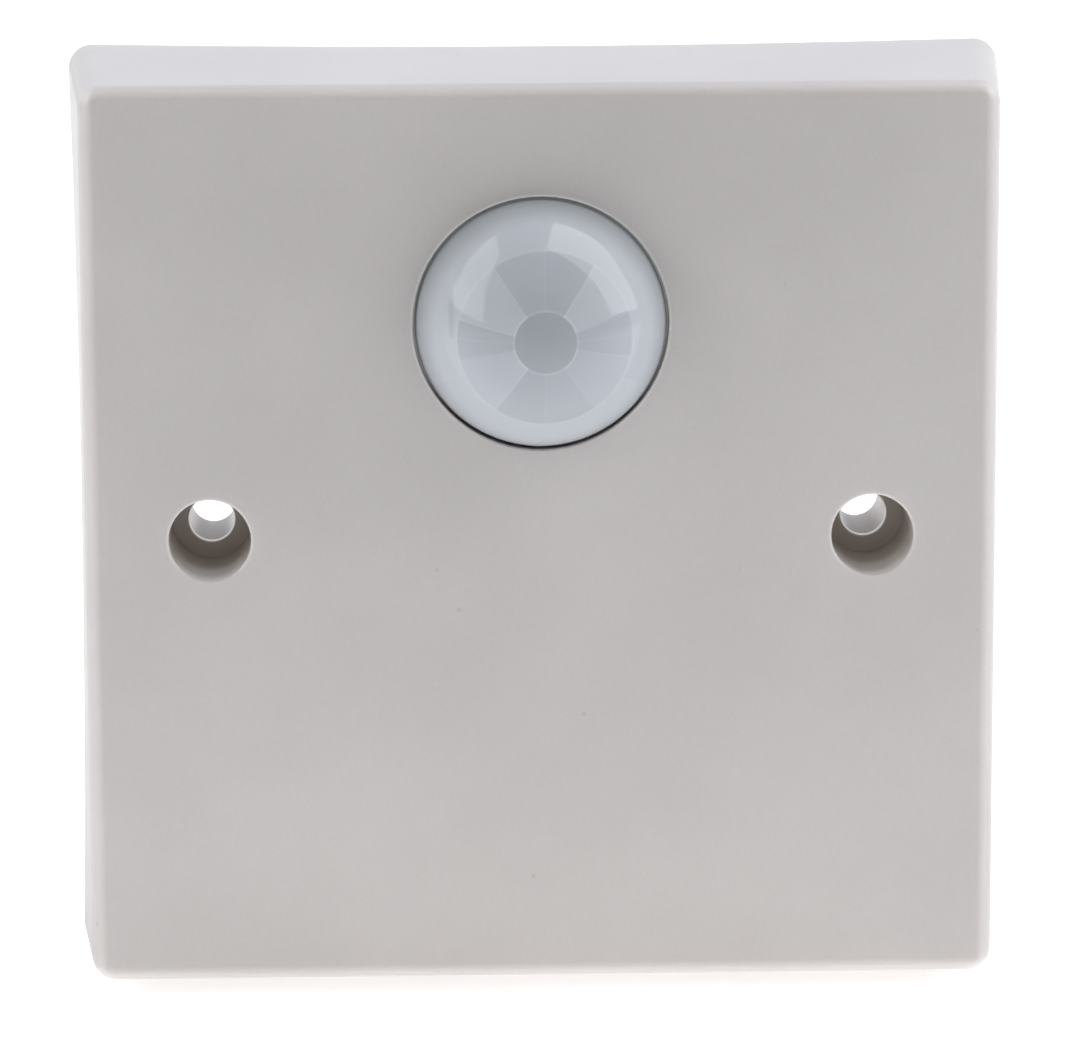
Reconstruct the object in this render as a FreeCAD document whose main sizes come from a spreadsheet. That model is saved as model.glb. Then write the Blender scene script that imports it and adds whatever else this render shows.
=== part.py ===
"""Wall plate motion sensor with a round lens dome, as an assembly of its separate pieces.

The frame has X to the right, Z up and Y into the wall. The origin is the centre of the wall
plane: the room side is negative Y, and the part that goes into the wall box is positive Y.
All sizes are millimetres, and every one that can be set by itself is a cell of the sheet.
"""

import FreeCAD, Part
import math
import os
import re

import Sketcher


SIZES = [
    # moulded front plate
    ("rear_width", 86.0),
    ("front_width", 82.8),
    ("face_depth", 19.0),
    ("corner_radius", 2.2),
    ("rear_bow", 0.45),
    ("edge_round", 1.4),
    ("edge_break", 0.12),
    ("plate_wall", 2.4),
    ("screw_centres", 60.3),
    ("screw_hole_radius", 2.05),
    ("screw_hole_lip", 0.25),
    ("recess_radius", 3.75),
    ("recess_depth", 10.0),
    ("pillar_radius", 5.6),
    ("rib_thick", 1.2),
    ("rib_drop", 4.0),
    # lens dome and what holds it
    ("lens_height", 19.75),
    ("aperture_radius", 11.6),
    ("dome_gap", 0.27),
    ("dome_skirt", 0.33),
    ("dome_wall", 0.8),
    ("disc_radius", 2.85),
    ("ring_radius", 8.0),
    ("flange_width", 2.2),
    ("flange_thick", 1.2),
    ("collar_wall", 1.6),
    ("collar_drop", 4.0),
    ("clamp_wall", 1.5),
    # sensor board
    ("board_thick", 1.6),
    ("sensor_board_side_gap", 1.55),
    ("sensor_board_top_gap", 1.2),
    ("sensor_board_bottom", -22.0),
    ("board_boss_length", 5.6),
    ("board_boss_radius", 2.8),
    ("board_boss_inset", 3.5),
    ("board_boss_drop", 4.2),
    ("board_boss_rise", 4.5),
    ("board_screw_radius", 1.1),
    ("board_screw_length", 5.0),
    ("board_screw_head_radius", 2.0),
    ("board_screw_head", 1.3),
    ("tap_bite", 0.15),
    ("loose_hole", 0.2),
    ("can_radius", 4.1),
    ("can_height", 3.6),
    ("can_wall", 0.25),
    ("can_rim", 0.5),
    ("header_thick", 1.0),
    ("window_width", 4.2),
    ("window_height", 3.2),
    ("window_thick", 0.5),
    ("lead_radius", 0.225),
    ("lead_circle", 2.54),
    ("bulb_radius", 1.5),
    ("bulb_height", 3.4),
    ("bulb_offset", 7.4),
    ("chip_length", 8.7),
    ("chip_width", 3.9),
    ("chip_height", 1.5),
    ("chip_height_on_board", 4.0),
    ("chip_leg_count", 7),
    ("chip_leg_pitch", 1.27),
    ("chip_leg_width", 0.4),
    ("chip_leg_length", 1.07),
    ("resistor_pitch", 3.2),
    ("resistor_thick", 0.5),
    ("capacitor_pitch", 4.4),
    ("capacitor_thick", 1.1),
    ("small_part_length", 2.0),
    ("small_part_width", 1.25),
    ("small_part_row", 6.0),
    # link between the boards
    ("link_pitch", 2.54),
    ("link_count", 5),
    ("link_body", 2.5),
    ("link_pin", 0.64),
    ("link_rise", 3.5),
    ("pin_overhang", 0.8),
    # mains board
    ("mains_board_side_gap", 0.65),
    ("mains_board_lap", 1.5),
    # rear cover
    ("cover_gap", 0.35),
    ("cover_corner", 3.0),
    ("cover_thick", 2.0),
    ("cover_recess", 0.2),
    ("tray_height", 52.0),
    ("tray_side_gap", 0.3),
    ("tray_headroom", 1.1),
    ("tray_wall", 1.8),
    ("tray_corner", 2.5),
    ("tray_bevel", 0.8),
    ("pillar_clearance", 0.3),
    ("post_radius", 2.6),
    ("post_inset", 3.6),
    ("post_drop", 5.7),
    ("cover_boss_radius", 3.4),
    ("cover_screw_inset", 6.6),
    ("cover_screw_radius", 1.45),
    ("cover_screw_length", 9.0),
    ("cover_screw_head_radius", 2.8),
    # terminal block
    ("terminal_pitch", 8.0),
    ("terminal_count", 3),
    ("terminal_end_wall", 1.2),
    ("window_gap", 0.3),
    ("terminal_height", 16.5),
    ("terminal_entry_wall", 3.0),
    ("terminal_back_wall", 1.5),
    ("chamber_width", 6.2),
    ("chamber_length", 6.0),
    ("wire_radius", 1.7),
    ("clamp_clearance", 0.15),
    ("cage_wall", 0.8),
    ("clamp_foot", 1.0),
    ("clamp_head", 1.6),
    ("clamp_window", 4.8),
    ("clamp_lift", 3.3),
    ("contact_thick", 1.0),
    ("contact_side_gap", 0.35),
    ("contact_gap", 0.2),
    ("terminal_screw_radius", 1.5),
    ("terminal_head_radius", 2.5),
    ("terminal_head", 1.8),
    ("driver_hole_radius", 2.1),
    ("driver_lip", 0.8),
    ("slot_width", 0.8),
    ("slot_depth", 0.9),
    ("turning_gap", 0.05),
    # time and light level adjusters
    ("trimmer_size", 9.0),
    ("trimmer_height", 4.8),
    ("trimmer_gap", 0.2),
    ("trimmer_floor_gap", 1.1),
    ("spindle_radius", 2.5),
    ("spindle_seat", 3.4),
    ("spindle_tip_in", 0.4),
    # parts standing on the mains board
    ("relay_length", 20.5),
    ("relay_width", 7.2),
    ("relay_height", 15.3),
    ("relay_across", -10.6),
    ("relay_rise", 1.28),
    ("relay_edge", 0.5),
    ("film_length", 18.0),
    ("film_width", 6.0),
    ("film_height", 12.0),
    ("film_across", 11.6),
    ("film_rise", 1.88),
    ("film_edge", 0.4),
    ("reservoir_radius", 4.0),
    ("reservoir_height", 11.5),
    ("reservoir_waist", 1.2),
    ("reservoir_side_gap", 2.2),
    ("reservoir_rise", 2.8),
    ("fuse_radius", 4.2),
    ("fuse_height", 7.7),
    ("fuse_waist", 0.8),
    ("fuse_across", 4.2),
    ("fuse_rise", 4.0),
    ("varistor_radius", 4.6),
    ("varistor_thick", 3.8),
    ("varistor_standoff", 1.4),
    ("varistor_across", 15.4),
    ("varistor_rise", 6.3),
    ("rectifier_length", 8.4),
    ("rectifier_width", 6.4),
    ("rectifier_height", 3.3),
    ("rectifier_across", -6.4),
    ("rectifier_rise", 5.0),
    ("rectifier_edge", 0.3),
    ("regulator_radius", 2.3),
    ("regulator_flat", 1.3),
    ("regulator_height", 4.6),
    ("regulator_across", -7.0),
    ("regulator_rise", 5.1),
    ("diode_radius", 1.35),
    ("diode_length", 5.2),
    ("diode_across", 3.0),
    ("diode_rise", 5.45),
    ("small_part_gap", 0.1),
]

RING_ANGLES = (2, 17, 55, 90, 125, 167, 180, 193, 235, 270, 305, 347)

DOC = FreeCAD.newDocument("motion_sensor")
SHEET = DOC.addObject("Spreadsheet::Sheet", "sizes")
NAMES = {name for name, _ in SIZES}
NODES = []


def fill_sheet():
    """Write each driving size as a plain number in a cell that carries its name."""
    for row, (name, value) in enumerate(SIZES, start=1):
        SHEET.set(f"A{row}", name)
        SHEET.set(f"B{row}", str(value))
        SHEET.setAlias(f"B{row}", name)
    DOC.recompute()


def cells(text):
    """Turn an expression on size names into one on the sheet's cells."""
    return re.sub(r"[a-z_]+", lambda word: "sizes." + word[0] if word[0] in NAMES else word[0], text)


def number(text):
    """Work out an expression on size names as a plain number."""
    return float(SHEET.evalExpression(cells(text)))


# Depths along Y, each from the sizes that set it
FACE = "(-face_depth)"
INSIDE = "(plate_wall - face_depth)"
FLANGE_BACK = f"({INSIDE} + flange_thick)"
SENSOR_FRONT = f"({INSIDE} + board_boss_length)"
SENSOR_BACK = f"({SENSOR_FRONT} + board_thick)"
COVER_BACK = "(-cover_recess)"
COVER_FRONT = f"({COVER_BACK} - cover_thick)"
SLOPE = "((rear_width - front_width) / 2 / face_depth)"
COVER_HALF = (
    f"(rear_width / 2 - plate_wall - rear_bow + {SLOPE} * {COVER_FRONT} - cover_gap)"
)
MAINS_BACK = COVER_FRONT
MAINS_FRONT = f"({MAINS_BACK} - board_thick)"
TRAY_FLOOR = f"({MAINS_BACK} + relay_height + tray_headroom)"
TRAY_BACK = f"({TRAY_FLOOR} + tray_wall)"

# Radii of the half sphere that follow from its gap in the aperture, and its centre's depth
DOME_RADIUS = "(aperture_radius - dome_gap)"
DOME_CENTRE = f"({INSIDE} - dome_skirt)"
SHELL_RADIUS = f"({DOME_RADIUS} - dome_wall)"
FLANGE_RADIUS = f"({DOME_RADIUS} + flange_width)"

# The boards stand between the screw pillars and under the top wall
BETWEEN_PILLARS = "(screw_centres / 2 - pillar_radius)"
SENSOR_HALF = f"({BETWEEN_PILLARS} - sensor_board_side_gap)"
INNER_HALF = f"(front_width / 2 + {SLOPE} * plate_wall - plate_wall)"
SENSOR_TOP = f"({INNER_HALF} - sensor_board_top_gap)"
MAINS_HALF = f"({BETWEEN_PILLARS} - mains_board_side_gap)"
MAINS_TALL = "(tray_height / 2 + mains_board_lap)"

# The terminals and the adjusters beside them fill the tray from side to side
BLOCK_HALF = "(terminal_pitch * terminal_count / 2 + terminal_end_wall)"
ADJUSTER_REACH = f"({BLOCK_HALF} + trimmer_gap + trimmer_size / 2)"
TRAY_INNER = f"({ADJUSTER_REACH} + trimmer_size / 2 + tray_side_gap)"
TRAY_HALF = f"({TRAY_INNER} + tray_wall)"
TRAY_TALL = "(tray_height / 2)"

# Heights in the tray, from its lower wall up
CHAMBER_LOW = f"(terminal_entry_wall - {TRAY_TALL})"
CHAMBER_HIGH = f"({CHAMBER_LOW} + chamber_length)"
CHAMBER_MIDDLE = f"({CHAMBER_LOW} + chamber_length / 2)"
BLOCK_TOP = f"({CHAMBER_HIGH} + terminal_back_wall)"
TRIMMER_UP = f"(tray_wall + trimmer_floor_gap + trimmer_size / 2 - {TRAY_TALL})"
LINK_UP = f"({BLOCK_TOP} + link_rise)"
RELAY_LOW = f"({LINK_UP} + link_pin / 2 + relay_rise)"
RELAY_TOP = f"({RELAY_LOW} + relay_width)"
FILM_LOW = f"({LINK_UP} + link_pin / 2 + film_rise)"
RECTIFIER_LOW = f"({RELAY_TOP} + rectifier_rise)"
FUSE_LOW = f"({RELAY_TOP} + fuse_rise)"

# Places of the repeated features
PILLARS = [(f"({side} * screw_centres / 2)", "0") for side in (-1, 1)]
BOARD_BOSSES = [
    (f"({side} * ({SENSOR_HALF} - board_boss_inset))", level)
    for side in (-1, 1)
    for level in (f"({SENSOR_TOP} - board_boss_drop)", "(sensor_board_bottom + board_boss_rise)")
]
COVER_SCREW_REACH = f"({COVER_HALF} - cover_screw_inset)"
COVER_BOSSES = [
    (f"({side} * {COVER_SCREW_REACH})", f"({rise} * {COVER_SCREW_REACH})")
    for side in (-1, 1)
    for rise in (-1, 1)
]
POSTS = [
    (f"({side} * ({MAINS_HALF} - post_inset))", f"({MAINS_TALL} - post_drop)") for side in (-1, 1)
]
TERMINALS = {
    name: f"({place} * terminal_pitch)"
    for name, place in (("live", -1), ("neutral", 0), ("load", 1))
}
ADJUSTERS = {"time": f"(-{ADJUSTER_REACH})", "lux": ADJUSTER_REACH}


def new_body(label):
    """Start a body that becomes the node of that name."""
    body = DOC.addObject("PartDesign::Body", label)
    body.Label = label
    NODES.append(body)
    return body


def loose_body(name):
    """Start a body that is a member of a group of like pieces."""
    body = DOC.addObject("PartDesign::Body", name)
    body.Label = name
    return body


def group(label, members):
    """Put like pieces in one node."""
    compound = DOC.addObject("Part::Compound", label)
    compound.Label = label
    compound.Links = members
    NODES.append(compound)
    return compound


def place(item, across="0", depth="0", up="0"):
    """Put a body at a point given by expressions."""
    for axis, text in (("x", across), ("y", depth), ("z", up)):
        if text != "0":
            item.setExpression(f"Placement.Base.{axis}", cells(text))


def sketch_on(body, name, role, offset="0"):
    """Attach a new sketch to one of the body's own planes, moved along its normal."""
    sketch = body.newObject("Sketcher::SketchObject", name)
    plane = next(item for item in body.Origin.OriginFeatures if item.Role == role)
    sketch.AttachmentSupport = (plane, [""])
    sketch.MapMode = "FlatFace"
    if offset != "0":
        sketch.setExpression("AttachmentOffset.Base.z", cells(offset))
    return sketch


def bind(sketch, constraint, text):
    """Add a dimension and tie it to an expression."""
    index = sketch.addConstraint(constraint)
    sketch.setExpression(f"Constraints[{index}]", cells(text))


def pin(sketch, shape, point, across, up):
    """Fix a point of the sketch by its two distances from the origin."""
    for kind, axis, text in (("DistanceX", -2, across), ("DistanceY", -1, up)):
        if text == "0":
            sketch.addConstraint(Sketcher.Constraint("PointOnObject", shape, point, axis))
        elif text is not None:
            rule = Sketcher.Constraint(kind, -1, 1, shape, point, number(text))
            bind(sketch, rule, text)


def circle(sketch, radius, across="0", up="0"):
    """Draw a circle."""
    centre = FreeCAD.Vector(number(across), number(up), 0)
    shape = sketch.addGeometry(Part.Circle(centre, FreeCAD.Vector(0, 0, 1), number(radius)))
    bind(sketch, Sketcher.Constraint("Radius", shape, number(radius)), radius)
    pin(sketch, shape, 3, across, up)


def arc_between(start, end, centre, turn):
    """Make the arc about a centre, anticlockwise if turn is 1 and clockwise if it is -1."""
    first, last = (start, end) if turn > 0 else (end, start)
    low = math.atan2(first[1] - centre[1], first[0] - centre[0])
    high = math.atan2(last[1] - centre[1], last[0] - centre[0])
    if high <= low:
        high += 2 * math.pi
    ring = Part.Circle(FreeCAD.Vector(*centre, 0), FreeCAD.Vector(0, 0, 1), math.dist(first, centre))
    return Part.ArcOfCircle(ring, low, high)


def outline(sketch, corners, arcs=None):
    """Draw a closed outline through corners, with arcs at the edges that name a centre.

    arcs gives, for the edge that leaves a corner, its centre and turn; a centre's
    coordinate of None is left to follow from the two ends.
    """
    arcs = arcs or {}
    spots = [(number(across), number(up)) for across, up in corners]
    edges = []
    for index, start in enumerate(spots):
        end = spots[(index + 1) % len(spots)]
        if index in arcs:
            across, up, turn, _ = arcs[index]
            shape = sketch.addGeometry(arc_between(start, end, (number(across), number(up)), turn))
            edges.append((shape, 1, 2) if turn > 0 else (shape, 2, 1))
        else:
            line = Part.LineSegment(FreeCAD.Vector(*start, 0), FreeCAD.Vector(*end, 0))
            edges.append((sketch.addGeometry(line), 1, 2))
    for index, (shape, head, tail) in enumerate(edges):
        follower, its_head, _ = edges[(index + 1) % len(edges)]
        sketch.addConstraint(Sketcher.Constraint("Coincident", shape, tail, follower, its_head))
        pin(sketch, shape, head, *corners[index])
    for index, (across, up, _, fixed) in arcs.items():
        shape = edges[index][0]
        pin(sketch, shape, 3, across if fixed == "across" else None, up if fixed == "up" else None)


def rectangle(sketch, left, right, low, high):
    """Draw a rectangle between four expressions."""
    outline(sketch, [(left, low), (right, low), (right, high), (left, high)])


def rounded_square(sketch, half_width, half_height, corner, bow=None):
    """Draw a rounded outline whose sides may bow inward by a small amount."""
    flat_width = f"({half_width} - {corner})"
    flat_height = f"({half_height} - {corner})"
    corners = [
        (f"-{flat_width}", f"-{half_height}"),
        (flat_width, f"-{half_height}"),
        (half_width, f"-{flat_height}"),
        (half_width, flat_height),
        (flat_width, half_height),
        (f"-{flat_width}", half_height),
        (f"-{half_width}", flat_height),
        (f"-{half_width}", f"-{flat_height}"),
    ]
    arcs = {
        1: (flat_width, f"-{flat_height}", 1, "across"),
        3: (flat_width, flat_height, 1, "across"),
        5: (f"-{flat_width}", flat_height, 1, "across"),
        7: (f"-{flat_width}", f"-{flat_height}", 1, "across"),
    }
    if bow:
        far = f"(({flat_width}^2 + {bow}^2) / (2 * {bow}) + {half_width} - {bow})"
        arcs[0] = ("0", f"-{far}", -1, "up")
        arcs[2] = (far, "0", -1, "across")
        arcs[4] = ("0", far, -1, "up")
        arcs[6] = (f"-{far}", "0", -1, "across")
    outline(sketch, corners, arcs)


def pad(body, name, back, front, draw):
    """Add material between two depths."""
    sketch = sketch_on(body, name + "_outline", "XZ_Plane", f"-({back})")
    draw(sketch)
    feature = body.newObject("PartDesign::Pad", name)
    feature.Profile = sketch
    feature.setExpression("Length", cells(f"({back}) - ({front})"))
    sketch.Visibility = False
    return feature


def pocket(body, name, back, front, draw):
    """Take material away between two depths."""
    sketch = sketch_on(body, name + "_outline", "XZ_Plane", f"-({front})")
    draw(sketch)
    feature = body.newObject("PartDesign::Pocket", name)
    feature.Profile = sketch
    feature.setExpression("Length", cells(f"({back}) - ({front})"))
    sketch.Visibility = False
    return feature


def circles(radius, spots):
    """Give a drawing of equal circles."""
    def draw(sketch):
        for across, up in spots:
            circle(sketch, radius, across, up)
    return draw


def turned(body, name, corners, arcs=None, cut=False):
    """Turn a profile of radius and depth about the body's own Y axis."""
    sketch = sketch_on(body, name + "_profile", "XY_Plane")
    outline(sketch, corners, arcs)
    kind = "PartDesign::Groove" if cut else "PartDesign::Revolution"
    feature = body.newObject(kind, name)
    feature.Profile = sketch
    feature.ReferenceAxis = (sketch, ["V_Axis"])
    feature.Angle = 360
    return feature


def edges_where(shape, test):
    """Name the edges whose two ends and middle all pass a test."""
    names = []
    for index, edge in enumerate(shape.Edges, start=1):
        middle = edge.valueAt((edge.FirstParameter + edge.LastParameter) / 2)
        if all(test(point) for point in [vertex.Point for vertex in edge.Vertexes] + [middle]):
            names.append(f"Edge{index}")
    return names


def round_edges(body, name, radius, test, kind="PartDesign::Fillet"):
    """Round or bevel the edges of the body's last feature that pass a test."""
    DOC.recompute()
    base = body.Tip
    feature = body.newObject(kind, name)
    feature.Base = (base, edges_where(base.Shape, test))
    feature.setExpression("Radius" if kind.endswith("Fillet") else "Size", cells(radius))
    return feature


def at_depth(depth):
    """Give a test for points that lie at one depth."""
    level = number(depth)
    return lambda point: abs(point.y - level) < 1e-4


def loft(body, name, first, last, cut=False):
    """Loft straight walls between two outlines, each given by its depth and its drawing."""
    sketches = []
    for index, (depth, draw) in enumerate((first, last)):
        sketch = sketch_on(body, f"{name}_{index}", "XZ_Plane", f"-({depth})")
        draw(sketch)
        sketches.append(sketch)
    kind = "PartDesign::SubtractiveLoft" if cut else "PartDesign::AdditiveLoft"
    feature = body.newObject(kind, name)
    feature.Profile = sketches[0]
    feature.Sections = sketches[1:]
    feature.Ruled = True
    return feature


def front_plate():
    """Mould the tapered plate: walls, screw pillars, lens collar and the bosses behind it."""
    body = new_body("front_plate")
    shoulder = f"(front_width / 2 + {SLOPE} * plate_wall)"

    def shoulder_outline(sketch):
        rounded_square(sketch, shoulder, shoulder, "corner_radius")

    loft(
        body,
        "outer_walls",
        ("0", lambda sketch: rounded_square(
            sketch, "(rear_width / 2)", "(rear_width / 2)", "corner_radius", "rear_bow")),
        (INSIDE, shoulder_outline),
    )
    loft(
        body,
        "front_wall",
        (INSIDE, shoulder_outline),
        (FACE, lambda sketch: rounded_square(
            sketch, "(front_width / 2)", "(front_width / 2)", "corner_radius")),
    )
    round_edges(body, "front_edge_round", "edge_round", at_depth(FACE))
    inner_rear = "(rear_width / 2 - plate_wall)"
    loft(
        body,
        "hollow",
        ("0", lambda sketch: rounded_square(
            sketch, inner_rear, inner_rear, "(corner_radius / 2)", "rear_bow")),
        (INSIDE, lambda sketch: rounded_square(
            sketch, INNER_HALF, INNER_HALF, "(corner_radius / 2)")),
        cut=True,
    )
    pad(body, "screw_pillars", "0", f"({INSIDE} - plate_wall / 2)", circles("pillar_radius", PILLARS))

    def ribs(sketch):
        reach = "(front_width / 2 - plate_wall / 4)"
        start = "(screw_centres / 2 + pillar_radius / 2)"
        half = "(rib_thick / 2)"
        rectangle(sketch, start, reach, f"-{half}", half)
        rectangle(sketch, f"-{reach}", f"-{start}", f"-{half}", half)

    pad(body, "pillar_ribs", "(-rib_drop)", f"({INSIDE} - plate_wall / 2)", ribs)

    def collar(sketch):
        circle(sketch, f"({FLANGE_RADIUS} + dome_gap + collar_wall)", up="lens_height")
        circle(sketch, f"({FLANGE_RADIUS} + dome_gap)", up="lens_height")

    pad(body, "lens_collar", f"({INSIDE} + collar_drop)", f"({INSIDE} - plate_wall / 2)", collar)
    pad(body, "board_bosses", SENSOR_FRONT, f"({INSIDE} - plate_wall / 2)",
        circles("board_boss_radius", BOARD_BOSSES))
    pad(body, "cover_bosses", COVER_FRONT, f"({INSIDE} - plate_wall / 2)",
        circles("cover_boss_radius", COVER_BOSSES))
    pocket(body, "lens_aperture", f"({INSIDE} + plate_wall / 4)", FACE,
           lambda sketch: circle(sketch, "aperture_radius", up="lens_height"))
    pocket(body, "screw_recesses", f"({FACE} + recess_depth)", FACE,
           circles("recess_radius", PILLARS))
    pocket(body, "screw_holes", "0", FACE, circles("screw_hole_radius", PILLARS))
    pocket(body, "board_pilots", SENSOR_FRONT, f"({SENSOR_FRONT} - board_screw_length)",
           circles("(board_screw_radius - tap_bite)", BOARD_BOSSES))
    pocket(body, "cover_pilots", COVER_FRONT, f"({COVER_FRONT} - cover_screw_length)",
           circles("(cover_screw_radius - tap_bite)", COVER_BOSSES))
    floor = at_depth(f"({FACE} + recess_depth)")
    reach = number("(screw_hole_radius + recess_radius) / 2")
    centre = number("screw_centres / 2")
    round_edges(
        body,
        "screw_hole_lips",
        "screw_hole_lip",
        lambda point: floor(point) and math.hypot(abs(point.x) - centre, point.z) < reach,
        kind="PartDesign::Chamfer",
    )
    face = at_depth(FACE)
    mouth = number("(recess_radius + pillar_radius) / 2")
    window = number("aperture_radius + edge_break")
    height = number("lens_height")
    round_edges(
        body,
        "mouth_edges",
        "edge_break",
        lambda point: face(point) and (
            math.hypot(abs(point.x) - centre, point.z) < mouth
            or math.hypot(point.x, point.z - height) < window),
        kind="PartDesign::Chamfer",
    )


def lens_dome():
    """Mould the lens: half a sphere on a flange, with flat facets inside round a flat disc."""
    body = new_body("lens_dome")
    place(body, up="lens_height")

    def shell_depth(radius):
        return f"({DOME_CENTRE} - sqrt({SHELL_RADIUS}^2 - {radius}^2))"

    turned(
        body,
        "dome_and_flange",
        [
            ("0", f"({DOME_CENTRE} - {DOME_RADIUS})"),
            ("0", FLANGE_BACK),
            (FLANGE_RADIUS, FLANGE_BACK),
            (FLANGE_RADIUS, INSIDE),
            (DOME_RADIUS, INSIDE),
            (DOME_RADIUS, DOME_CENTRE),
        ],
        {5: ("0", DOME_CENTRE, -1, "across")},
    )
    turned(
        body,
        "hollow",
        [
            ("0", FLANGE_BACK),
            ("0", shell_depth("ring_radius")),
            ("ring_radius", shell_depth("ring_radius")),
            (SHELL_RADIUS, DOME_CENTRE),
            (SHELL_RADIUS, FLANGE_BACK),
        ],
        {2: ("0", DOME_CENTRE, 1, "across")},
        cut=True,
    )

    def facets(radius):
        def draw(sketch):
            outline(sketch, [
                (f"({radius} * cos({angle} deg))", f"({radius} * sin({angle} deg))")
                for angle in RING_ANGLES
            ])
        return draw

    loft(body, "facets", (shell_depth("ring_radius"), facets("ring_radius")),
         (shell_depth("disc_radius"), facets("disc_radius")), cut=True)


def lens_clamp_ring():
    """Turn the sleeve that the sensor board presses against the lens flange."""
    body = new_body("lens_clamp_ring")
    place(body, up="lens_height")
    outer = FLANGE_RADIUS
    inner = f"({FLANGE_RADIUS} - clamp_wall)"
    lip = f"({FLANGE_BACK} + clamp_wall)"
    turned(
        body,
        "sleeve",
        [
            (SHELL_RADIUS, FLANGE_BACK),
            (SHELL_RADIUS, lip),
            (inner, lip),
            (inner, SENSOR_FRONT),
            (outer, SENSOR_FRONT),
            (outer, FLANGE_BACK),
        ],
    )


def link_spots():
    """List the places of the pins that join the two boards."""
    count = int(number("link_count"))
    return [(f"({place - (count - 1) / 2} * link_pitch)", LINK_UP) for place in range(count)]


def can_lead_spots(up="0"):
    """List the three leads of the heat sensor on their circle."""
    return [
        (f"(lead_circle * cos({angle} deg))", f"({up} + lead_circle * sin({angle} deg))")
        for angle in (45, 135, 225)
    ]


def sensor_board():
    """Cut the front board with its screw holes and its lead holes."""
    body = new_body("sensor_board")
    pad(body, "panel", SENSOR_BACK, SENSOR_FRONT,
        lambda sketch: rectangle(sketch, f"-{SENSOR_HALF}", SENSOR_HALF, "sensor_board_bottom",
                                 SENSOR_TOP))
    pocket(body, "mounting_holes", SENSOR_BACK, SENSOR_FRONT,
           circles("(board_screw_radius + loose_hole)", BOARD_BOSSES))
    pocket(body, "link_holes", SENSOR_BACK, SENSOR_FRONT,
           circles("(link_pin / 2 * sqrt(2) + small_part_gap)", link_spots()))
    pocket(body, "lead_holes", SENSOR_BACK, SENSOR_FRONT,
           circles("(lead_radius + small_part_gap)", can_lead_spots("lens_height")))


def heat_sensor():
    """Make the heat sensor behind the lens: header with leads, element, can and window."""
    header_front = f"({SENSOR_FRONT} - header_thick)"
    can_front = f"({header_front} - can_height)"
    rim = "(can_radius + can_rim)"

    header = new_body("sensor_header")
    place(header, up="lens_height")
    pad(header, "disc", SENSOR_FRONT, header_front, lambda sketch: circle(sketch, rim))
    pad(header, "leads", f"({SENSOR_BACK} + pin_overhang)", SENSOR_FRONT,
        circles("lead_radius", can_lead_spots()))

    element = new_body("sensor_element")
    place(element, up="lens_height")
    pad(element, "ceramic", header_front, f"({header_front} - header_thick)",
        lambda sketch: rectangle(sketch, "(-window_width / 2)", "(window_width / 2)",
                                 "(-window_height / 2)", "(window_height / 2)"))

    can = new_body("sensor_can")
    place(can, up="lens_height")
    bore = "(can_radius - can_wall)"
    turned(
        can,
        "drawn_can",
        [
            ("0", can_front),
            ("0", f"({can_front} + can_wall)"),
            (bore, f"({can_front} + can_wall)"),
            (bore, header_front),
            (rim, header_front),
            (rim, f"({header_front} - can_wall)"),
            ("can_radius", f"({header_front} - can_wall)"),
            ("can_radius", can_front),
        ],
    )
    pocket(can, "window_hole", f"({can_front} + can_wall)", can_front,
           lambda sketch: rectangle(sketch, "(-window_width / 2)", "(window_width / 2)",
                                    "(-window_height / 2)", "(window_height / 2)"))

    window = new_body("sensor_window")
    place(window, up="lens_height")
    lap = "(window_width / 2 + can_rim / 2)"
    side = "(window_height / 2 + can_rim / 2)"
    window_front = f"({can_front} + can_wall)"
    pad(window, "filter", f"({window_front} + window_thick)", window_front,
        lambda sketch: rectangle(sketch, f"-{lap}", lap, f"-{side}", side))


def bulb_part(label, across):
    """Make a small domed lamp or light cell that stands on the sensor board."""
    body = new_body(label)
    place(body, across=across, up="lens_height")
    shoulder = f"({SENSOR_FRONT} - bulb_height + bulb_radius)"
    turned(
        body,
        "bulb",
        [
            ("0", f"({SENSOR_FRONT} - bulb_height)"),
            ("0", SENSOR_FRONT),
            ("(bulb_radius + can_wall)", SENSOR_FRONT),
            ("(bulb_radius + can_wall)", f"({SENSOR_FRONT} - header_thick)"),
            ("bulb_radius", f"({SENSOR_FRONT} - header_thick)"),
            ("bulb_radius", shoulder),
        ],
        {5: ("0", shoulder, -1, "across")},
    )


def controller_chip():
    """Make the controller on the back of the sensor board, with its two rows of legs."""
    body = new_body("controller_chip")
    half = "(chip_length / 2)"
    side = "(chip_width / 2)"
    back = f"({SENSOR_BACK} + chip_height)"
    lift = f"({SENSOR_BACK} + small_part_gap)"
    pad(body, "package", back, lift,
        lambda sketch: rectangle(sketch, f"-{half}", half, f"(chip_height_on_board - {side})",
                                 f"(chip_height_on_board + {side})"))
    round_edges(body, "package_bevel", "(chip_height / 6)", at_depth(back),
                kind="PartDesign::Chamfer")

    def legs(sketch):
        count = int(number("chip_leg_count"))
        for place_in_row in range(count):
            middle = f"({place_in_row - (count - 1) / 2} * chip_leg_pitch)"
            left = f"({middle} - chip_leg_width / 2)"
            right = f"({middle} + chip_leg_width / 2)"
            rectangle(sketch, left, right, f"(chip_height_on_board + {side})",
                      f"(chip_height_on_board + {side} + chip_leg_length)")
            rectangle(sketch, left, right, f"(chip_height_on_board - {side} - chip_leg_length)",
                      f"(chip_height_on_board - {side})")

    pad(body, "legs", f"({SENSOR_BACK} + chip_height / 2)", SENSOR_BACK, legs)


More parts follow.
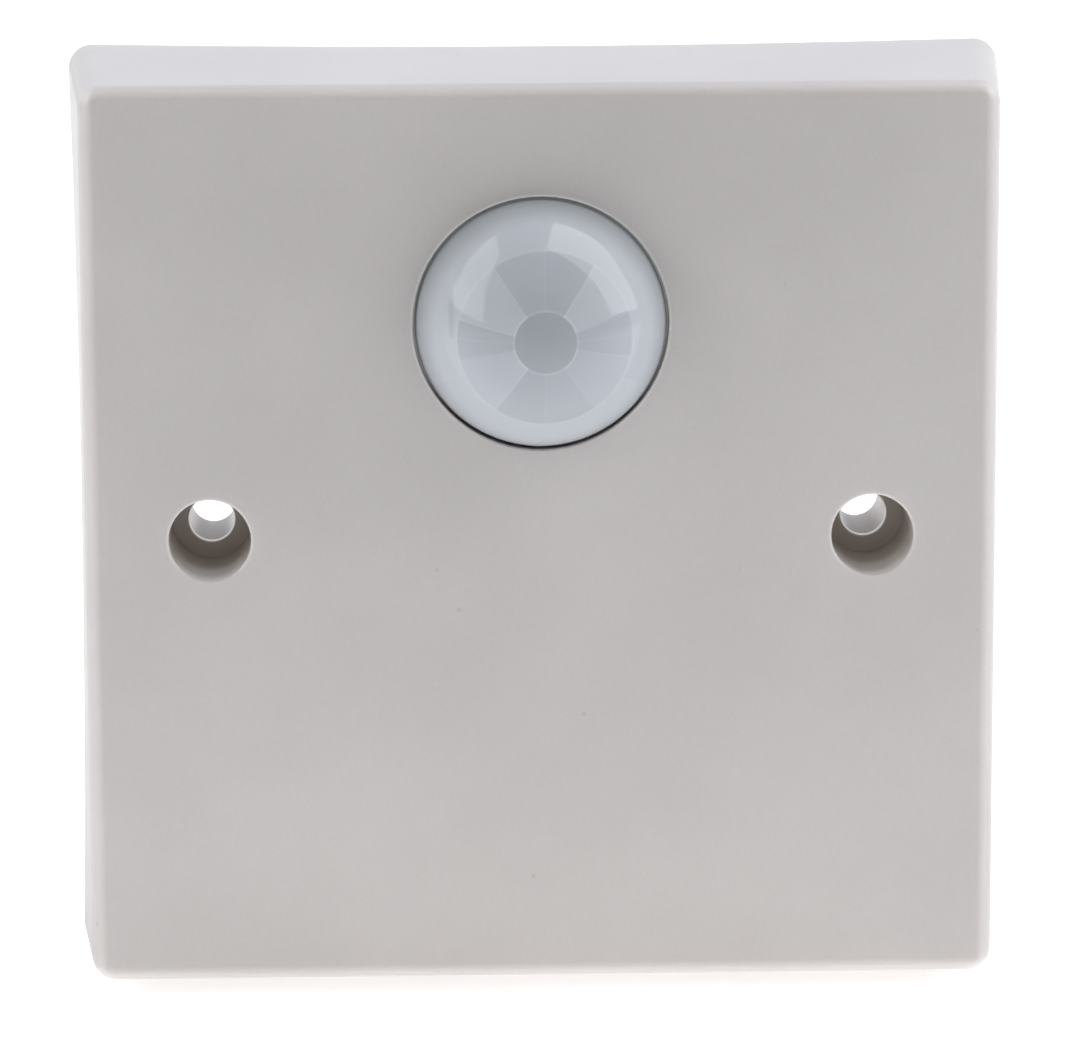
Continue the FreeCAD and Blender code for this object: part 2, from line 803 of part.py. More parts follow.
def chip_part(name, across, up, height):
    """Make one small surface part on the back of the sensor board."""
    body = loose_body(name)
    place(body, across=across, depth=SENSOR_BACK, up=up)
    long = "(small_part_length / 2)"
    wide = "(small_part_width / 2)"
    pad(body, "block", height, "0",
        lambda sketch: rectangle(sketch, f"-{long}", long, f"-{wide}", wide))
    return body


def chip_row(label, count, pitch, up, height):
    """Make a row of like surface parts, centred on the board."""
    group(label, [
        chip_part(f"{label}_{index}", f"({index - (count - 1) / 2} * {pitch})", up, height)
        for index in range(count)
    ])


def pan_screw(name, across, up, seat, length, radius, head_radius, head):
    """Turn a pan head screw whose head lies behind a seat and whose tip points to the room."""
    body = loose_body(name)
    place(body, across=across, depth=seat, up=up)
    turned(
        body,
        "shank_and_head",
        [
            ("0", head),
            (f"({head_radius} * 0.75)", head),
            (head_radius, f"({head} * 0.55)"),
            (head_radius, "0"),
            (radius, "0"),
            (radius, f"({radius} - {length})"),
            ("0", f"(-{length})"),
        ],
    )
    pocket(body, "drive", head, f"({head} * 0.45)",
           lambda sketch: rectangle(sketch, f"(-{head_radius} * 0.55)", f"({head_radius} * 0.55)",
                                    "(-slot_width / 3)", "(slot_width / 3)"))
    return body


def board_screws():
    """Put the screws that hold the sensor board on its bosses."""
    bite = "(board_screw_radius - tap_bite)"
    group("sensor_board_screws", [
        pan_screw(f"sensor_board_screw_{index}", across, up, SENSOR_BACK,
                  "(board_screw_length - loose_hole)", bite, "board_screw_head_radius",
                  "board_screw_head")
        for index, (across, up) in enumerate(BOARD_BOSSES)
    ])


def link_header():
    """Make the strip and the pins that join the two boards."""
    strip = new_body("link_header")
    half = "(link_pitch * link_count / 2)"
    low = f"({LINK_UP} - link_body / 2)"
    high = f"({LINK_UP} + link_body / 2)"
    pad(strip, "strip", MAINS_FRONT, f"({MAINS_FRONT} - link_body)",
        lambda sketch: rectangle(sketch, f"-{half}", half, low, high))
    pocket(strip, "pin_holes", MAINS_FRONT, f"({MAINS_FRONT} - link_body)",
           lambda sketch: [
               rectangle(sketch, f"({across} - link_pin / 2)", f"({across} + link_pin / 2)",
                         f"({up} - link_pin / 2)", f"({up} + link_pin / 2)")
               for across, up in link_spots()
           ])
    pins = []
    for index, (across, up) in enumerate(link_spots()):
        pin_body = loose_body(f"link_pin_{index}")
        place(pin_body, across=across, up=up)
        pad(pin_body, "pin", f"({MAINS_BACK} + pin_overhang)", f"({SENSOR_FRONT} - pin_overhang)",
            lambda sketch: rectangle(sketch, "(-link_pin / 2)", "(link_pin / 2)",
                                     "(-link_pin / 2)", "(link_pin / 2)"))
        round_edges(pin_body, "pin_tip", "(link_pin / 5)",
                    at_depth(f"({SENSOR_FRONT} - pin_overhang)"), kind="PartDesign::Chamfer")
        pins.append(pin_body)
    group("link_pins", pins)


def mains_board():
    """Cut the rear board with its screw, pin and leg holes."""
    body = new_body("mains_board")
    pad(body, "panel", MAINS_BACK, MAINS_FRONT,
        lambda sketch: rectangle(sketch, f"-{MAINS_HALF}", MAINS_HALF, f"-{MAINS_TALL}", MAINS_TALL))
    pocket(body, "mounting_holes", MAINS_BACK, MAINS_FRONT,
           circles("(board_screw_radius + loose_hole)", POSTS))
    pocket(body, "link_holes", MAINS_BACK, MAINS_FRONT,
           circles("(link_pin / 2 * sqrt(2) + small_part_gap)", link_spots()))


def rear_cover():
    """Mould the rear cover: a flange inside the plate and a tray that enters the wall box."""
    body = new_body("rear_cover")
    pad(body, "flange", COVER_BACK, COVER_FRONT,
        lambda sketch: rounded_square(sketch, COVER_HALF, COVER_HALF, "cover_corner"))
    pad(body, "tray_walls", TRAY_BACK, COVER_FRONT,
        lambda sketch: rounded_square(sketch, TRAY_HALF, TRAY_TALL, "tray_corner"))
    round_edges(body, "tray_bevel", "tray_bevel", at_depth(TRAY_BACK),
                kind="PartDesign::Chamfer")
    inner = "(tray_corner - tray_wall)"
    pocket(body, "tray_hollow", TRAY_FLOOR, COVER_FRONT,
           lambda sketch: rounded_square(sketch, TRAY_INNER, f"({TRAY_TALL} - tray_wall)", inner))
    pad(body, "board_posts", f"({TRAY_FLOOR} + tray_wall / 2)", COVER_FRONT,
        circles("post_radius", POSTS))
    pocket(body, "pillar_holes", "pillar_clearance", COVER_FRONT,
           circles("(pillar_radius + pillar_clearance)", PILLARS))
    pocket(body, "post_pilots", f"({COVER_FRONT} + board_screw_length)", COVER_FRONT,
           circles("(board_screw_radius - tap_bite)", POSTS))
    pocket(body, "screw_holes", COVER_BACK, COVER_FRONT,
           circles("(cover_screw_radius + loose_hole)", COVER_BOSSES))
    DOC.recompute()
    sunk = number("cover_screw_head_radius + loose_hole")
    hole = number("cover_screw_radius + loose_hole")
    span = number(COVER_SCREW_REACH)
    back = at_depth(COVER_BACK)
    round_edges(
        body,
        "screw_sinks",
        "(cover_screw_head_radius - cover_screw_radius)",
        lambda point: back(point) and abs(
            math.hypot(abs(point.x) - span, abs(point.z) - span) - hole) < (sunk - hole) / 2,
        kind="PartDesign::Chamfer",
    )
    block = f"({BLOCK_HALF} + window_gap)"
    pocket(body, "terminal_window", TRAY_BACK, COVER_FRONT,
           lambda sketch: rectangle(sketch, f"-{block}", block, f"(-{TRAY_TALL} - tray_wall)",
                                    f"({BLOCK_TOP} + window_gap)"))
    pocket(body, "adjuster_holes", TRAY_BACK, TRAY_FLOOR,
           circles("(spindle_radius + 2 * turning_gap)",
                   [(across, TRIMMER_UP) for across in ADJUSTERS.values()]))


def sunk_screw(name, across, up):
    """Turn a countersunk screw that holds the rear cover on its boss."""
    body = loose_body(name)
    place(body, across=across, depth=COVER_BACK, up=up)
    radius = "(cover_screw_radius - tap_bite)"
    sink = "(cover_screw_head_radius - cover_screw_radius)"
    length = "(cover_screw_length + cover_thick - loose_hole)"
    turned(
        body,
        "shank_and_head",
        [
            ("0", "0"),
            ("cover_screw_head_radius", "0"),
            ("cover_screw_radius", f"(-{sink})"),
            (radius, f"(-{sink} - loose_hole)"),
            (radius, f"({radius} - {length})"),
            ("0", f"(-{length})"),
        ],
    )
    pocket(body, "drive", "0", "(-slot_depth)",
           lambda sketch: rectangle(sketch, "(-cover_screw_head_radius * 0.55)",
                                    "(cover_screw_head_radius * 0.55)",
                                    "(-slot_width / 2)", "(slot_width / 2)"))
    return body


def cover_screws():
    """Put the screws that close the housing and those that hold the mains board."""
    group("cover_screws", [
        sunk_screw(f"cover_screw_{index}", across, up)
        for index, (across, up) in enumerate(COVER_BOSSES)
    ])
    bite = "(board_screw_radius - tap_bite)"
    members = []
    for index, (across, up) in enumerate(POSTS):
        screw = pan_screw(f"mains_board_screw_{index}", across, up, MAINS_FRONT,
                          "(board_screw_length - loose_hole)", bite,
                          "board_screw_head_radius", "board_screw_head")
        screw.Placement.Rotation = FreeCAD.Rotation(FreeCAD.Vector(0, 0, 1), 180)
        members.append(screw)
    group("mains_board_screws", members)


BLOCK_BACK = f"({MAINS_BACK} + terminal_height)"
HEAD_BACK = f"({BLOCK_BACK} - driver_lip - turning_gap)"
HEAD_FRONT = f"({HEAD_BACK} - terminal_head)"
CLAMP_FRONT = f"({MAINS_BACK} + clamp_lift)"
CONTACT_FRONT = f"({CLAMP_FRONT} + clamp_foot + clamp_window - contact_gap - contact_thick)"
CONTACT_BACK = f"({CONTACT_FRONT} + contact_thick)"
WIRE_DEPTH = f"(({CLAMP_FRONT} + clamp_foot + {CONTACT_FRONT}) / 2)"
CLAMP_BACK = f"({CLAMP_FRONT} + clamp_foot + clamp_window + clamp_head)"


def terminal_block():
    """Mould the terminal housing: a chamber, wire entry and driver hole for each way."""
    body = new_body("terminal_block")
    pad(body, "housing", BLOCK_BACK, MAINS_BACK,
        lambda sketch: rectangle(sketch, f"-{BLOCK_HALF}", BLOCK_HALF, f"-{TRAY_TALL}", BLOCK_TOP))
    ways = list(TERMINALS.values())
    head_bore = "(terminal_head_radius + turning_gap)"

    def chambers(sketch):
        for across in ways:
            rectangle(sketch, f"({across} - chamber_width / 2)", f"({across} + chamber_width / 2)",
                      CHAMBER_LOW, CHAMBER_HIGH)

    pocket(body, "chambers", HEAD_FRONT, MAINS_BACK, chambers)
    spots = [(across, CHAMBER_MIDDLE) for across in ways]
    pocket(body, "screw_seats", f"({BLOCK_BACK} - driver_lip)", MAINS_BACK, circles(head_bore, spots))
    pocket(body, "driver_holes", BLOCK_BACK, MAINS_BACK, circles("driver_hole_radius", spots))
    entries = sketch_on(body, "wire_entries_outline", "XY_Plane", f"-{TRAY_TALL}")
    for across in ways:
        circle(entries, "wire_radius", across, WIRE_DEPTH)
    feature = body.newObject("PartDesign::Pocket", "wire_entries")
    feature.Profile = entries
    feature.Reversed = True
    feature.setExpression("Length", cells("(terminal_entry_wall + chamber_length / 4)"))


def terminal_screw(label, across):
    """Turn a slotted terminal screw, held under the lip of its driver hole."""
    body = new_body(label)
    place(body, across=across, up=CHAMBER_MIDDLE)
    tip = f"({CONTACT_BACK} + turning_gap)"
    turned(
        body,
        "shank_and_head",
        [
            ("0", HEAD_BACK),
            ("terminal_head_radius", HEAD_BACK),
            ("terminal_head_radius", HEAD_FRONT),
            ("terminal_screw_radius", HEAD_FRONT),
            ("terminal_screw_radius", f"({tip} + terminal_screw_radius / 3)"),
            ("(terminal_screw_radius * 2 / 3)", tip),
            ("0", tip),
        ],
    )
    reach = "(terminal_head_radius + slot_depth)"
    pocket(body, "slot", HEAD_BACK, f"({HEAD_BACK} - slot_depth)",
           lambda sketch: rectangle(sketch, f"-{reach}", reach, "(-slot_width / 2)",
                                    "(slot_width / 2)"))


def terminal_clamp(label, across):
    """Make the cage that rises on the terminal screw and lifts the wire to the contact."""
    body = new_body(label)
    place(body, across=across, up=CHAMBER_MIDDLE)
    half = "(chamber_width / 2 - clamp_clearance)"
    side = "(chamber_length / 2 - clamp_clearance)"
    pad(body, "cage", CLAMP_BACK, CLAMP_FRONT,
        lambda sketch: rectangle(sketch, f"-{half}", half, f"-{side}", side))
    window = sketch_on(body, "window_outline", "XY_Plane", f"{side}")
    rectangle(window, f"-({half} - cage_wall)", f"({half} - cage_wall)",
              f"({CLAMP_FRONT} + clamp_foot)", f"({CLAMP_FRONT} + clamp_foot + clamp_window)")
    through = body.newObject("PartDesign::Pocket", "window")
    through.Profile = window
    through.setExpression("Length", cells(f"2 * {side}"))
    pocket(body, "thread", CLAMP_BACK, f"({CLAMP_BACK} - clamp_head)",
           lambda sketch: circle(sketch, "(terminal_screw_radius + turning_gap)"))


def terminal_contacts():
    """Fold the contact strips that run through the clamps down to the mains board."""
    members = []
    for name, across in TERMINALS.items():
        body = loose_body(f"{name}_contact")
        place(body, across=across)
        half = "(chamber_width / 2 - clamp_clearance - cage_wall - contact_side_gap)"
        start = f"({CHAMBER_LOW} + clamp_clearance)"
        end = f"({CHAMBER_HIGH} - small_part_gap)"
        pad(body, "strip", CONTACT_BACK, CONTACT_FRONT,
            lambda sketch: rectangle(sketch, f"-{half}", half, start, end))
        members.append(body)
    group("terminal_contacts", members)


def trimmer(label, across):
    """Make the base of an adjuster, with the bore its spindle turns in."""
    body = new_body(label)
    place(body, across=across, depth=MAINS_BACK, up=TRIMMER_UP)
    half = "(trimmer_size / 2)"
    pad(body, "base", "trimmer_height", "0",
        lambda sketch: rounded_square(sketch, half, half, "(trimmer_size / 12)"))
    pocket(body, "bore", "trimmer_height", "(trimmer_height - spindle_seat)",
           lambda sketch: circle(sketch, "(spindle_radius + turning_gap)"))


def adjuster(label, across):
    """Turn the slotted spindle of an adjuster, with the pointer beside its slot."""
    body = new_body(label)
    place(body, across=across, depth=MAINS_BACK, up=TRIMMER_UP)
    tip = f"({TRAY_BACK} - spindle_tip_in - {MAINS_BACK})"
    foot = "(trimmer_height - spindle_seat + turning_gap)"
    turned(
        body,
        "spindle",
        [
            ("0", tip),
            ("(spindle_radius - slot_width / 4)", tip),
            ("spindle_radius", f"({tip} - slot_width / 4)"),
            ("spindle_radius", foot),
            ("0", foot),
        ],
    )
    DOC.recompute()
    pocket(body, "slot", tip, f"({tip} - slot_depth)",
           lambda sketch: rectangle(sketch, "(-slot_width / 2)", "(slot_width / 2)",
                                    "(-spindle_radius - slot_width)",
                                    "(spindle_radius + slot_width)"))
    pocket(body, "pointer", tip, f"({tip} - slot_depth / 2)",
           lambda sketch: outline(sketch, [
               ("(slot_width)", "(-slot_width / 2)"),
               ("(spindle_radius * 0.85)", "0"),
               ("(slot_width)", "(slot_width / 2)"),
           ]))


def boxed_part(label, across, up, length, width, height, round_by):
    """Make a boxed component that stands on the mains board."""
    body = new_body(label)
    place(body, across=across, depth=MAINS_BACK, up=up)
    pad(body, "case", height, "0",
        lambda sketch: rectangle(sketch, f"(-{length} / 2)", f"({length} / 2)",
                                 f"(-{width} / 2)", f"({width} / 2)"))
    round_edges(body, "case_round", round_by, lambda point: point.y > 1e-3)


def round_part(label, across, up, radius, height, waist):
    """Make a can or fuse that stands on the mains board, with its crimped waist."""
    body = new_body(label)
    place(body, across=across, depth=MAINS_BACK, up=up)
    step = f"({radius} * 0.08)"
    turned(
        body,
        "case",
        [
            ("0", "0"),
            ("0", height),
            (f"({radius} - {step})", height),
            (radius, f"({height} - {step})"),
            (radius, f"({waist} + 3 * {step})"),
            (f"({radius} - {step})", f"({waist} + 2 * {step})"),
            (f"({radius} - {step})", f"({waist} + {step})"),
            (radius, waist),
            (radius, "0"),
        ],
    )


def varistor():
    """Make the surge absorber: a coated disc that stands on two legs."""
    body = new_body("surge_absorber")
    height = f"({FILM_LOW} + film_width + varistor_rise + varistor_thick / 2)"
    place(body, across="varistor_across", depth=MAINS_BACK, up=height)
    disc = sketch_on(body, "disc_outline", "XY_Plane", "varistor_thick / 2")
    circle(disc, "varistor_radius", "0", "(varistor_standoff + varistor_radius)")
    feature = body.newObject("PartDesign::Pad", "disc")
    feature.Profile = disc
    feature.Reversed = True
    feature.setExpression("Length", cells("varistor_thick"))
    round_edges(body, "coating_bevel", "(varistor_thick * 0.3)", lambda point: True,
                kind="PartDesign::Chamfer")
    pad(body, "legs", "(varistor_standoff + varistor_radius)", "0",
        circles("(lead_radius * 2)", [("(-link_pitch)", "0"), ("link_pitch", "0")]))


def regulator():
    """Make the voltage regulator: a half round body with a flat face."""
    body = new_body("voltage_regulator")
    height = f"({RECTIFIER_LOW} + rectifier_width + regulator_rise + regulator_radius)"
    place(body, across="regulator_across", depth=MAINS_BACK, up=height)
    edge = "(sqrt(regulator_radius^2 - regulator_flat^2))"
    pad(body, "half_round", "regulator_height", "0",
        lambda sketch: outline(
            sketch,
            [(edge, "(-regulator_flat)"), (f"-{edge}", "(-regulator_flat)")],
            {1: ("0", "0", -1, "up")},
        ))


def relay_diode():
    """Make the diode across the relay coil, lying on the board with its cathode step."""
    body = new_body("relay_diode")
    height = f"({FUSE_LOW} + 2 * fuse_radius + diode_rise + diode_radius)"
    place(body, across="diode_across", depth=f"({MAINS_BACK} + diode_radius)", up=height)
    sketch = sketch_on(body, "barrel_outline", "YZ_Plane", "(-diode_length / 2)")
    circle(sketch, "diode_radius")
    feature = body.newObject("PartDesign::Pad", "barrel")
    feature.Profile = sketch
    feature.setExpression("Length", cells("diode_length"))
    leads = sketch_on(body, "lead_outline", "YZ_Plane", "(-diode_length)")
    circle(leads, "(lead_radius * 1.5)")
    wire = body.newObject("PartDesign::Pad", "leads")
    wire.Profile = leads
    wire.setExpression("Length", cells("2 * diode_length"))


def mains_parts():
    """Stand the power parts on the mains board."""
    boxed_part("relay", "relay_across", f"({RELAY_LOW} + relay_width / 2)", "relay_length",
               "relay_width", "relay_height", "relay_edge")
    boxed_part("film_capacitor", "film_across", f"({FILM_LOW} + film_width / 2)", "film_length",
               "film_width", "film_height", "film_edge")
    boxed_part("bridge_rectifier", "rectifier_across", f"({RECTIFIER_LOW} + rectifier_width / 2)",
               "rectifier_length", "rectifier_width", "rectifier_height", "rectifier_edge")
    round_part("reservoir_capacitor", f"(reservoir_radius + reservoir_side_gap - {TRAY_INNER})",
               f"({RELAY_TOP} + reservoir_rise + reservoir_radius)", "reservoir_radius",
               "reservoir_height", "reservoir_waist")
    round_part("mains_fuse", "fuse_across", f"({FUSE_LOW} + fuse_radius)", "fuse_radius",
               "fuse_height", "fuse_waist")
    varistor()
    regulator()
    relay_diode()


def check_and_write():
    """Stop if anything failed or is not sound, then write each node to its file."""
    DOC.recompute()
    failed = [item.Name for item in DOC.Objects if {"Invalid", "Error"} & set(item.State)]
    if failed:
        raise RuntimeError("failed: " + ", ".join(failed))
    os.makedirs("parts", exist_ok=True)
    for node in NODES:
        if node.Shape.isNull() or not node.Shape.isValid() or not node.Shape.Solids:
            raise RuntimeError(f"{node.Label} is not a sound solid")
        node.Shape.exportStep(os.path.join("parts", node.Label + ".step"))
        print(f"{node.Label}: {len(node.Shape.Solids)} solids, {node.Shape.Volume:.1f} mm3")


def main():
    """Build the pieces from the room side to the wall box."""
    fill_sheet()
    front_plate()
    lens_dome()
    lens_clamp_ring()
    sensor_board()
    heat_sensor()
    bulb_part("light_cell", "bulb_offset")
    bulb_part("indicator_lamp", "(-bulb_offset)")
    controller_chip()
    chip_row("chip_resistors", 6, "resistor_pitch", "(chip_height_on_board - small_part_row)",
             "resistor_thick")
    chip_row("chip_capacitors", 4, "capacitor_pitch", "(chip_height_on_board + small_part_row)",
             "capacitor_thick")
    board_screws()
    link_header()
    mains_board()
    mains_parts()
    rear_cover()
    cover_screws()
    terminal_block()
    for name, across in TERMINALS.items():
        terminal_screw(f"{name}_screw", across)
        terminal_clamp(f"{name}_clamp", across)
    terminal_contacts()
    for name, across in ADJUSTERS.items():
        trimmer(f"{name}_trimmer", across)
        adjuster(f"{name}_adjuster", across)
    check_and_write()


main()
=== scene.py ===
"""Looks of the wall plate motion sensor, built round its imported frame.

The frame has X to the right, Z up and Y into the wall, in metres. The lens is built here as a
finer piece; every other node keeps its own mesh and is dressed with a material made of nodes.
Sizes and places are in millimetres, but for the lights, the reach of the floor and the range of
the camera, which are in metres. Angles are in degrees.
"""

import logging
import math
from collections.abc import Callable
from dataclasses import dataclass, field
from enum import Enum
from functools import cached_property

import bmesh
import bpy
from mathutils import Matrix, Vector


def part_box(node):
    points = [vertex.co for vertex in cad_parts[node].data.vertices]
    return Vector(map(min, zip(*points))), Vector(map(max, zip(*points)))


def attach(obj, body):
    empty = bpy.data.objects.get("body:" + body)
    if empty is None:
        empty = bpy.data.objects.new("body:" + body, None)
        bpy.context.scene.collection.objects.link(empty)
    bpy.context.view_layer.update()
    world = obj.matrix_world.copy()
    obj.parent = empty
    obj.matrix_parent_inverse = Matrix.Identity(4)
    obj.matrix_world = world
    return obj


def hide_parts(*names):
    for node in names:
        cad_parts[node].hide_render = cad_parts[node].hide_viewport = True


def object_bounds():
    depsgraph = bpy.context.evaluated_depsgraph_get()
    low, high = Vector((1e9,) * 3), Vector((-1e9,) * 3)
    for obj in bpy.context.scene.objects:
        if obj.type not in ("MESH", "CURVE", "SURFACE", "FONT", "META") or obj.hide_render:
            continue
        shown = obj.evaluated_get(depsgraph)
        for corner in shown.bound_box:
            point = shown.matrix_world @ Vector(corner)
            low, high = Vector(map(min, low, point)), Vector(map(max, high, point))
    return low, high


logging.basicConfig(level=logging.INFO, format="%(message)s")
LOG = logging.getLogger("motion_sensor")

MM = 0.001
FULL_TURN = 360.0

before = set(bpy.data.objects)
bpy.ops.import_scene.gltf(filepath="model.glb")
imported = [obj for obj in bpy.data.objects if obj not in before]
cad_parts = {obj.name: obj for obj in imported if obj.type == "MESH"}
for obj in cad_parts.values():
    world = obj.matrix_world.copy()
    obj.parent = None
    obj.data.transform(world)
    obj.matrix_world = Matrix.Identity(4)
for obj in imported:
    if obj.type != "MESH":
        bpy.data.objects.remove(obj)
CAD_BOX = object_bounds()

Colour = tuple[float, float, float]
Point = tuple[float, float, float]
Fade = tuple[float, float]

BLACK: Colour = (0.0, 0.0, 0.0)
ZINC: Colour = (0.60, 0.61, 0.62)


class Axis(Enum):
    """One of the three directions of the frame, with its place in a vector."""

    ACROSS = 0
    DEPTH = 1
    HEIGHT = 2


class Blend(Enum):
    """How a ramp goes from one stop to the next."""

    STEP = "CONSTANT"
    STRAIGHT = "LINEAR"


class Mixing(Enum):
    """How a second colour joins a first one."""

    COVER = "MIX"
    ADD = "ADD"


def scaled(colour: Colour, factor: float, lift: float = 0.0) -> Colour:
    """Multiply a colour and add a lift to it, with no channel above 1."""
    return tuple(min(1.0, channel * factor + lift) for channel in colour)


def math_method(operation: str, swapped: bool = False) -> Callable[..., "Amount"]:
    """Make a method of Amount that adds one Math node.

    Args:
        operation: the sum that the node does.
        swapped: whether the other value comes first.

    Returns:
        The method.
    """
    def method(amount: "Amount", *others: "Amount | float") -> "Amount":
        """Add the node."""
        return amount.shader.maths(operation, *((*others, amount) if swapped else (amount, *others)))

    return method


class Amount:
    """A shader value that adds Math nodes where it is used in an expression."""

    def __init__(self, shader: "Shader", socket: bpy.types.NodeSocket) -> None:
        """Wrap an output socket of a shader."""
        self.shader = shader
        self.socket = socket

    __add__ = __radd__ = math_method("ADD")
    __sub__ = math_method("SUBTRACT")
    __rsub__ = math_method("SUBTRACT", swapped=True)
    __mul__ = __rmul__ = math_method("MULTIPLY")
    __truediv__ = math_method("DIVIDE")
    __mod__ = math_method("FLOORED_MODULO")
    __pow__ = math_method("POWER")
    __abs__ = math_method("ABSOLUTE")
    __gt__ = math_method("GREATER_THAN")
    __lt__ = math_method("LESS_THAN")

    def swing(self, width: float) -> "Amount":
        """Give the swing of a pattern about its middle, 0.5, made as wide as asked."""
        return (self - 0.5) * width


class Shader:
    """A material under construction, with short ways to add its nodes."""

    def __init__(self, name: str) -> None:
        """Start an empty material.

        Args:
            name: the finish's name in the file.
        """
        self.material = bpy.data.materials.new(name)
        self.material.use_nodes = True
        self.tree = self.material.node_tree
        self.tree.nodes.clear()

    def node(self, kind: str, settings: dict | None = None,
             sockets: dict | None = None) -> bpy.types.Node:
        """Add a node, set it up and fill its inputs.

        Args:
            kind: the node's type.
            settings: its own properties, or the stops and the blend of a ramp.
            sockets: for each input's name or number, a value, an Amount or an output to link.

        Returns:
            The new node.
        """
        made = self.tree.nodes.new(kind)
        for name, value in (settings or {}).items():
            if name == "stops":
                self._set_stops(made.color_ramp, value)
            elif name == "blend":
                made.color_ramp.interpolation = value.value
            else:
                setattr(made, name, value)
        for name, value in (sockets or {}).items():
            target = made.inputs[name]
            if isinstance(value, Amount):
                self.tree.links.new(value.socket, target)
            elif isinstance(value, bpy.types.NodeSocket):
                self.tree.links.new(value, target)
            elif target.type == "RGBA":
                target.default_value = (*value, 1.0)
            else:
                target.default_value = value
        return made

    @staticmethod
    def _set_stops(ramp: bpy.types.ColorRamp, stops: list) -> None:
        """Give a ramp its stops.

        Args:
            ramp: the ramp, with two stops as it comes.
            stops: pairs of a place and a grey or a colour.
        """
        while len(ramp.elements) < len(stops):
            ramp.elements.new(1.0)
        for element, (place, value) in zip(ramp.elements, stops):
            element.position = place
            tone = value if isinstance(value, tuple) else (value, value, value)
            element.color = (*tone, 1.0)

    def maths(self, operation: str, *values: "Amount | float") -> Amount:
        """Add one Math node that does an operation on the values."""
        made = self.node("ShaderNodeMath", {"operation": operation}, dict(enumerate(values)))
        return Amount(self, made.outputs[0])

    def split(self, vector: bpy.types.NodeSocket) -> list[Amount]:
        """Give the three values of a vector or a colour."""
        made = self.node("ShaderNodeSeparateXYZ", None, {0: vector})
        return [Amount(self, output) for output in made.outputs]

    @cached_property
    def place(self) -> bpy.types.NodeSocket:
        """The point of the piece in millimetres, as one vector that all patterns share."""
        metres = self.node("ShaderNodeTexCoord").outputs["Object"]
        return self.node("ShaderNodeVectorMath", {"operation": "SCALE"},
                         {0: metres, "Scale": 1.0 / MM}).outputs[0]

    def spot(self) -> list[Amount]:
        """Give the same point in three values: to the right, into the wall and up."""
        return self.split(self.place)

    def facing(self, axis: Axis) -> Amount:
        """Give how far the surface faces along an axis, from -1 to 1."""
        return self.split(self.node("ShaderNodeTexCoord").outputs["Normal"])[axis.value]

    def noise(self, size: float, detail: float, squash: Point = (1.0, 1.0, 1.0)) -> Amount:
        """Add a cloud pattern about 0.5.

        Args:
            size: the width of its patches.
            detail: how many finer layers it has.
            squash: how much the pattern is packed along each axis.

        Returns:
            The pattern's value.
        """
        spread = self.node("ShaderNodeVectorMath", {"operation": "MULTIPLY"},
                           {0: self.place, 1: squash})
        cloud = self.node("ShaderNodeTexNoise", None,
                          {"Vector": spread.outputs[0], "Scale": 1.0 / size, "Detail": detail})
        return Amount(self, cloud.outputs[0])

    def cells(self, size: float) -> Amount:
        """Give the distance to the middle of the nearest cell of a pattern, in cell sizes."""
        made = self.node("ShaderNodeTexVoronoi", None, {"Vector": self.place, "Scale": 1.0 / size})
        return Amount(self, made.outputs["Distance"])

    def fade(self, value: Amount, none_at: float, full_at: float) -> Amount:
        """Add a smooth step, from 0 at one value to 1 at another, which may be the smaller one."""
        made = self.node("ShaderNodeMapRange", {"interpolation_type": "SMOOTHSTEP"},
                         {"Value": value, "From Min": none_at, "From Max": full_at})
        return Amount(self, made.outputs[0])

    def line(self, off_line: Amount, edge: float, core: float) -> Amount:
        """Give 1 within the core of a line and 0 beyond its edge."""
        return self.fade(abs(off_line), edge, core)

    def patches(self, pattern: Amount, softness: float = 0.2) -> Amount:
        """Sharpen a cloud pattern into patches with soft borders."""
        return self.fade(pattern, 0.5 - softness, 0.5 + softness)

    def ramp(self, value: Amount, stops: list, blend: Blend = Blend.STRAIGHT) -> bpy.types.NodeSocket:
        """Turn a value from 0 to 1 into a tone, by stops that are pairs of place and tone."""
        made = self.node("ShaderNodeValToRGB", {"stops": stops, "blend": blend}, {0: value})
        return made.outputs["Color"]

    def turn_steps(self, turn: Amount, steps: list[tuple[float, float]]) -> Amount:
        """Look up an angle in degrees, in steps that are pairs of their start and their level."""
        stops = [(max(0.0, start / FULL_TURN), level) for start, level in steps]
        return self.split(self.ramp(turn / FULL_TURN, stops, Blend.STEP))[0]

    def mix(self, share: "Amount | float", first: object, second: object,
            way: Mixing = Mixing.COVER) -> bpy.types.NodeSocket:
        """Mix a share of the second colour into the first, each a colour or a colour output."""
        made = self.node("ShaderNodeMix", {"data_type": "RGBA", "blend_type": way.value},
                         {"Factor": share, 6: first, 7: second})
        return made.outputs[2]

    def bump(self, height: Amount, depth: float) -> bpy.types.NodeSocket:
        """Give the normal of a relief in which 1 stands above 0 by the depth."""
        made = self.node("ShaderNodeBump", None,
                         {"Height": height, "Distance": depth * MM, "Strength": 1.0})
        return made.outputs[0]

    def finish(self, settings: dict, kind: str = "ShaderNodeBsdfPrincipled") -> bpy.types.Material:
        """Close the material with one surface.

        Args:
            settings: the surface's inputs by name.
            kind: the surface's own node.

        Returns:
            The material.
        """
        surface = self.node(kind, None, settings)
        self.node("ShaderNodeOutputMaterial", None, {"Surface": surface.outputs[0]})
        return self.material


@dataclass(frozen=True)
class Finish:
    """A named finish. Each kind of finish sets up its own surface."""

    name: str

    def make(self) -> bpy.types.Material:
        """Build the material."""
        shader = Shader(self.name)
        return shader.finish(self.surface(shader))

    def surface(self, shader: Shader) -> dict:
        """Set up the surface in a shader and give its inputs by name."""
        raise NotImplementedError


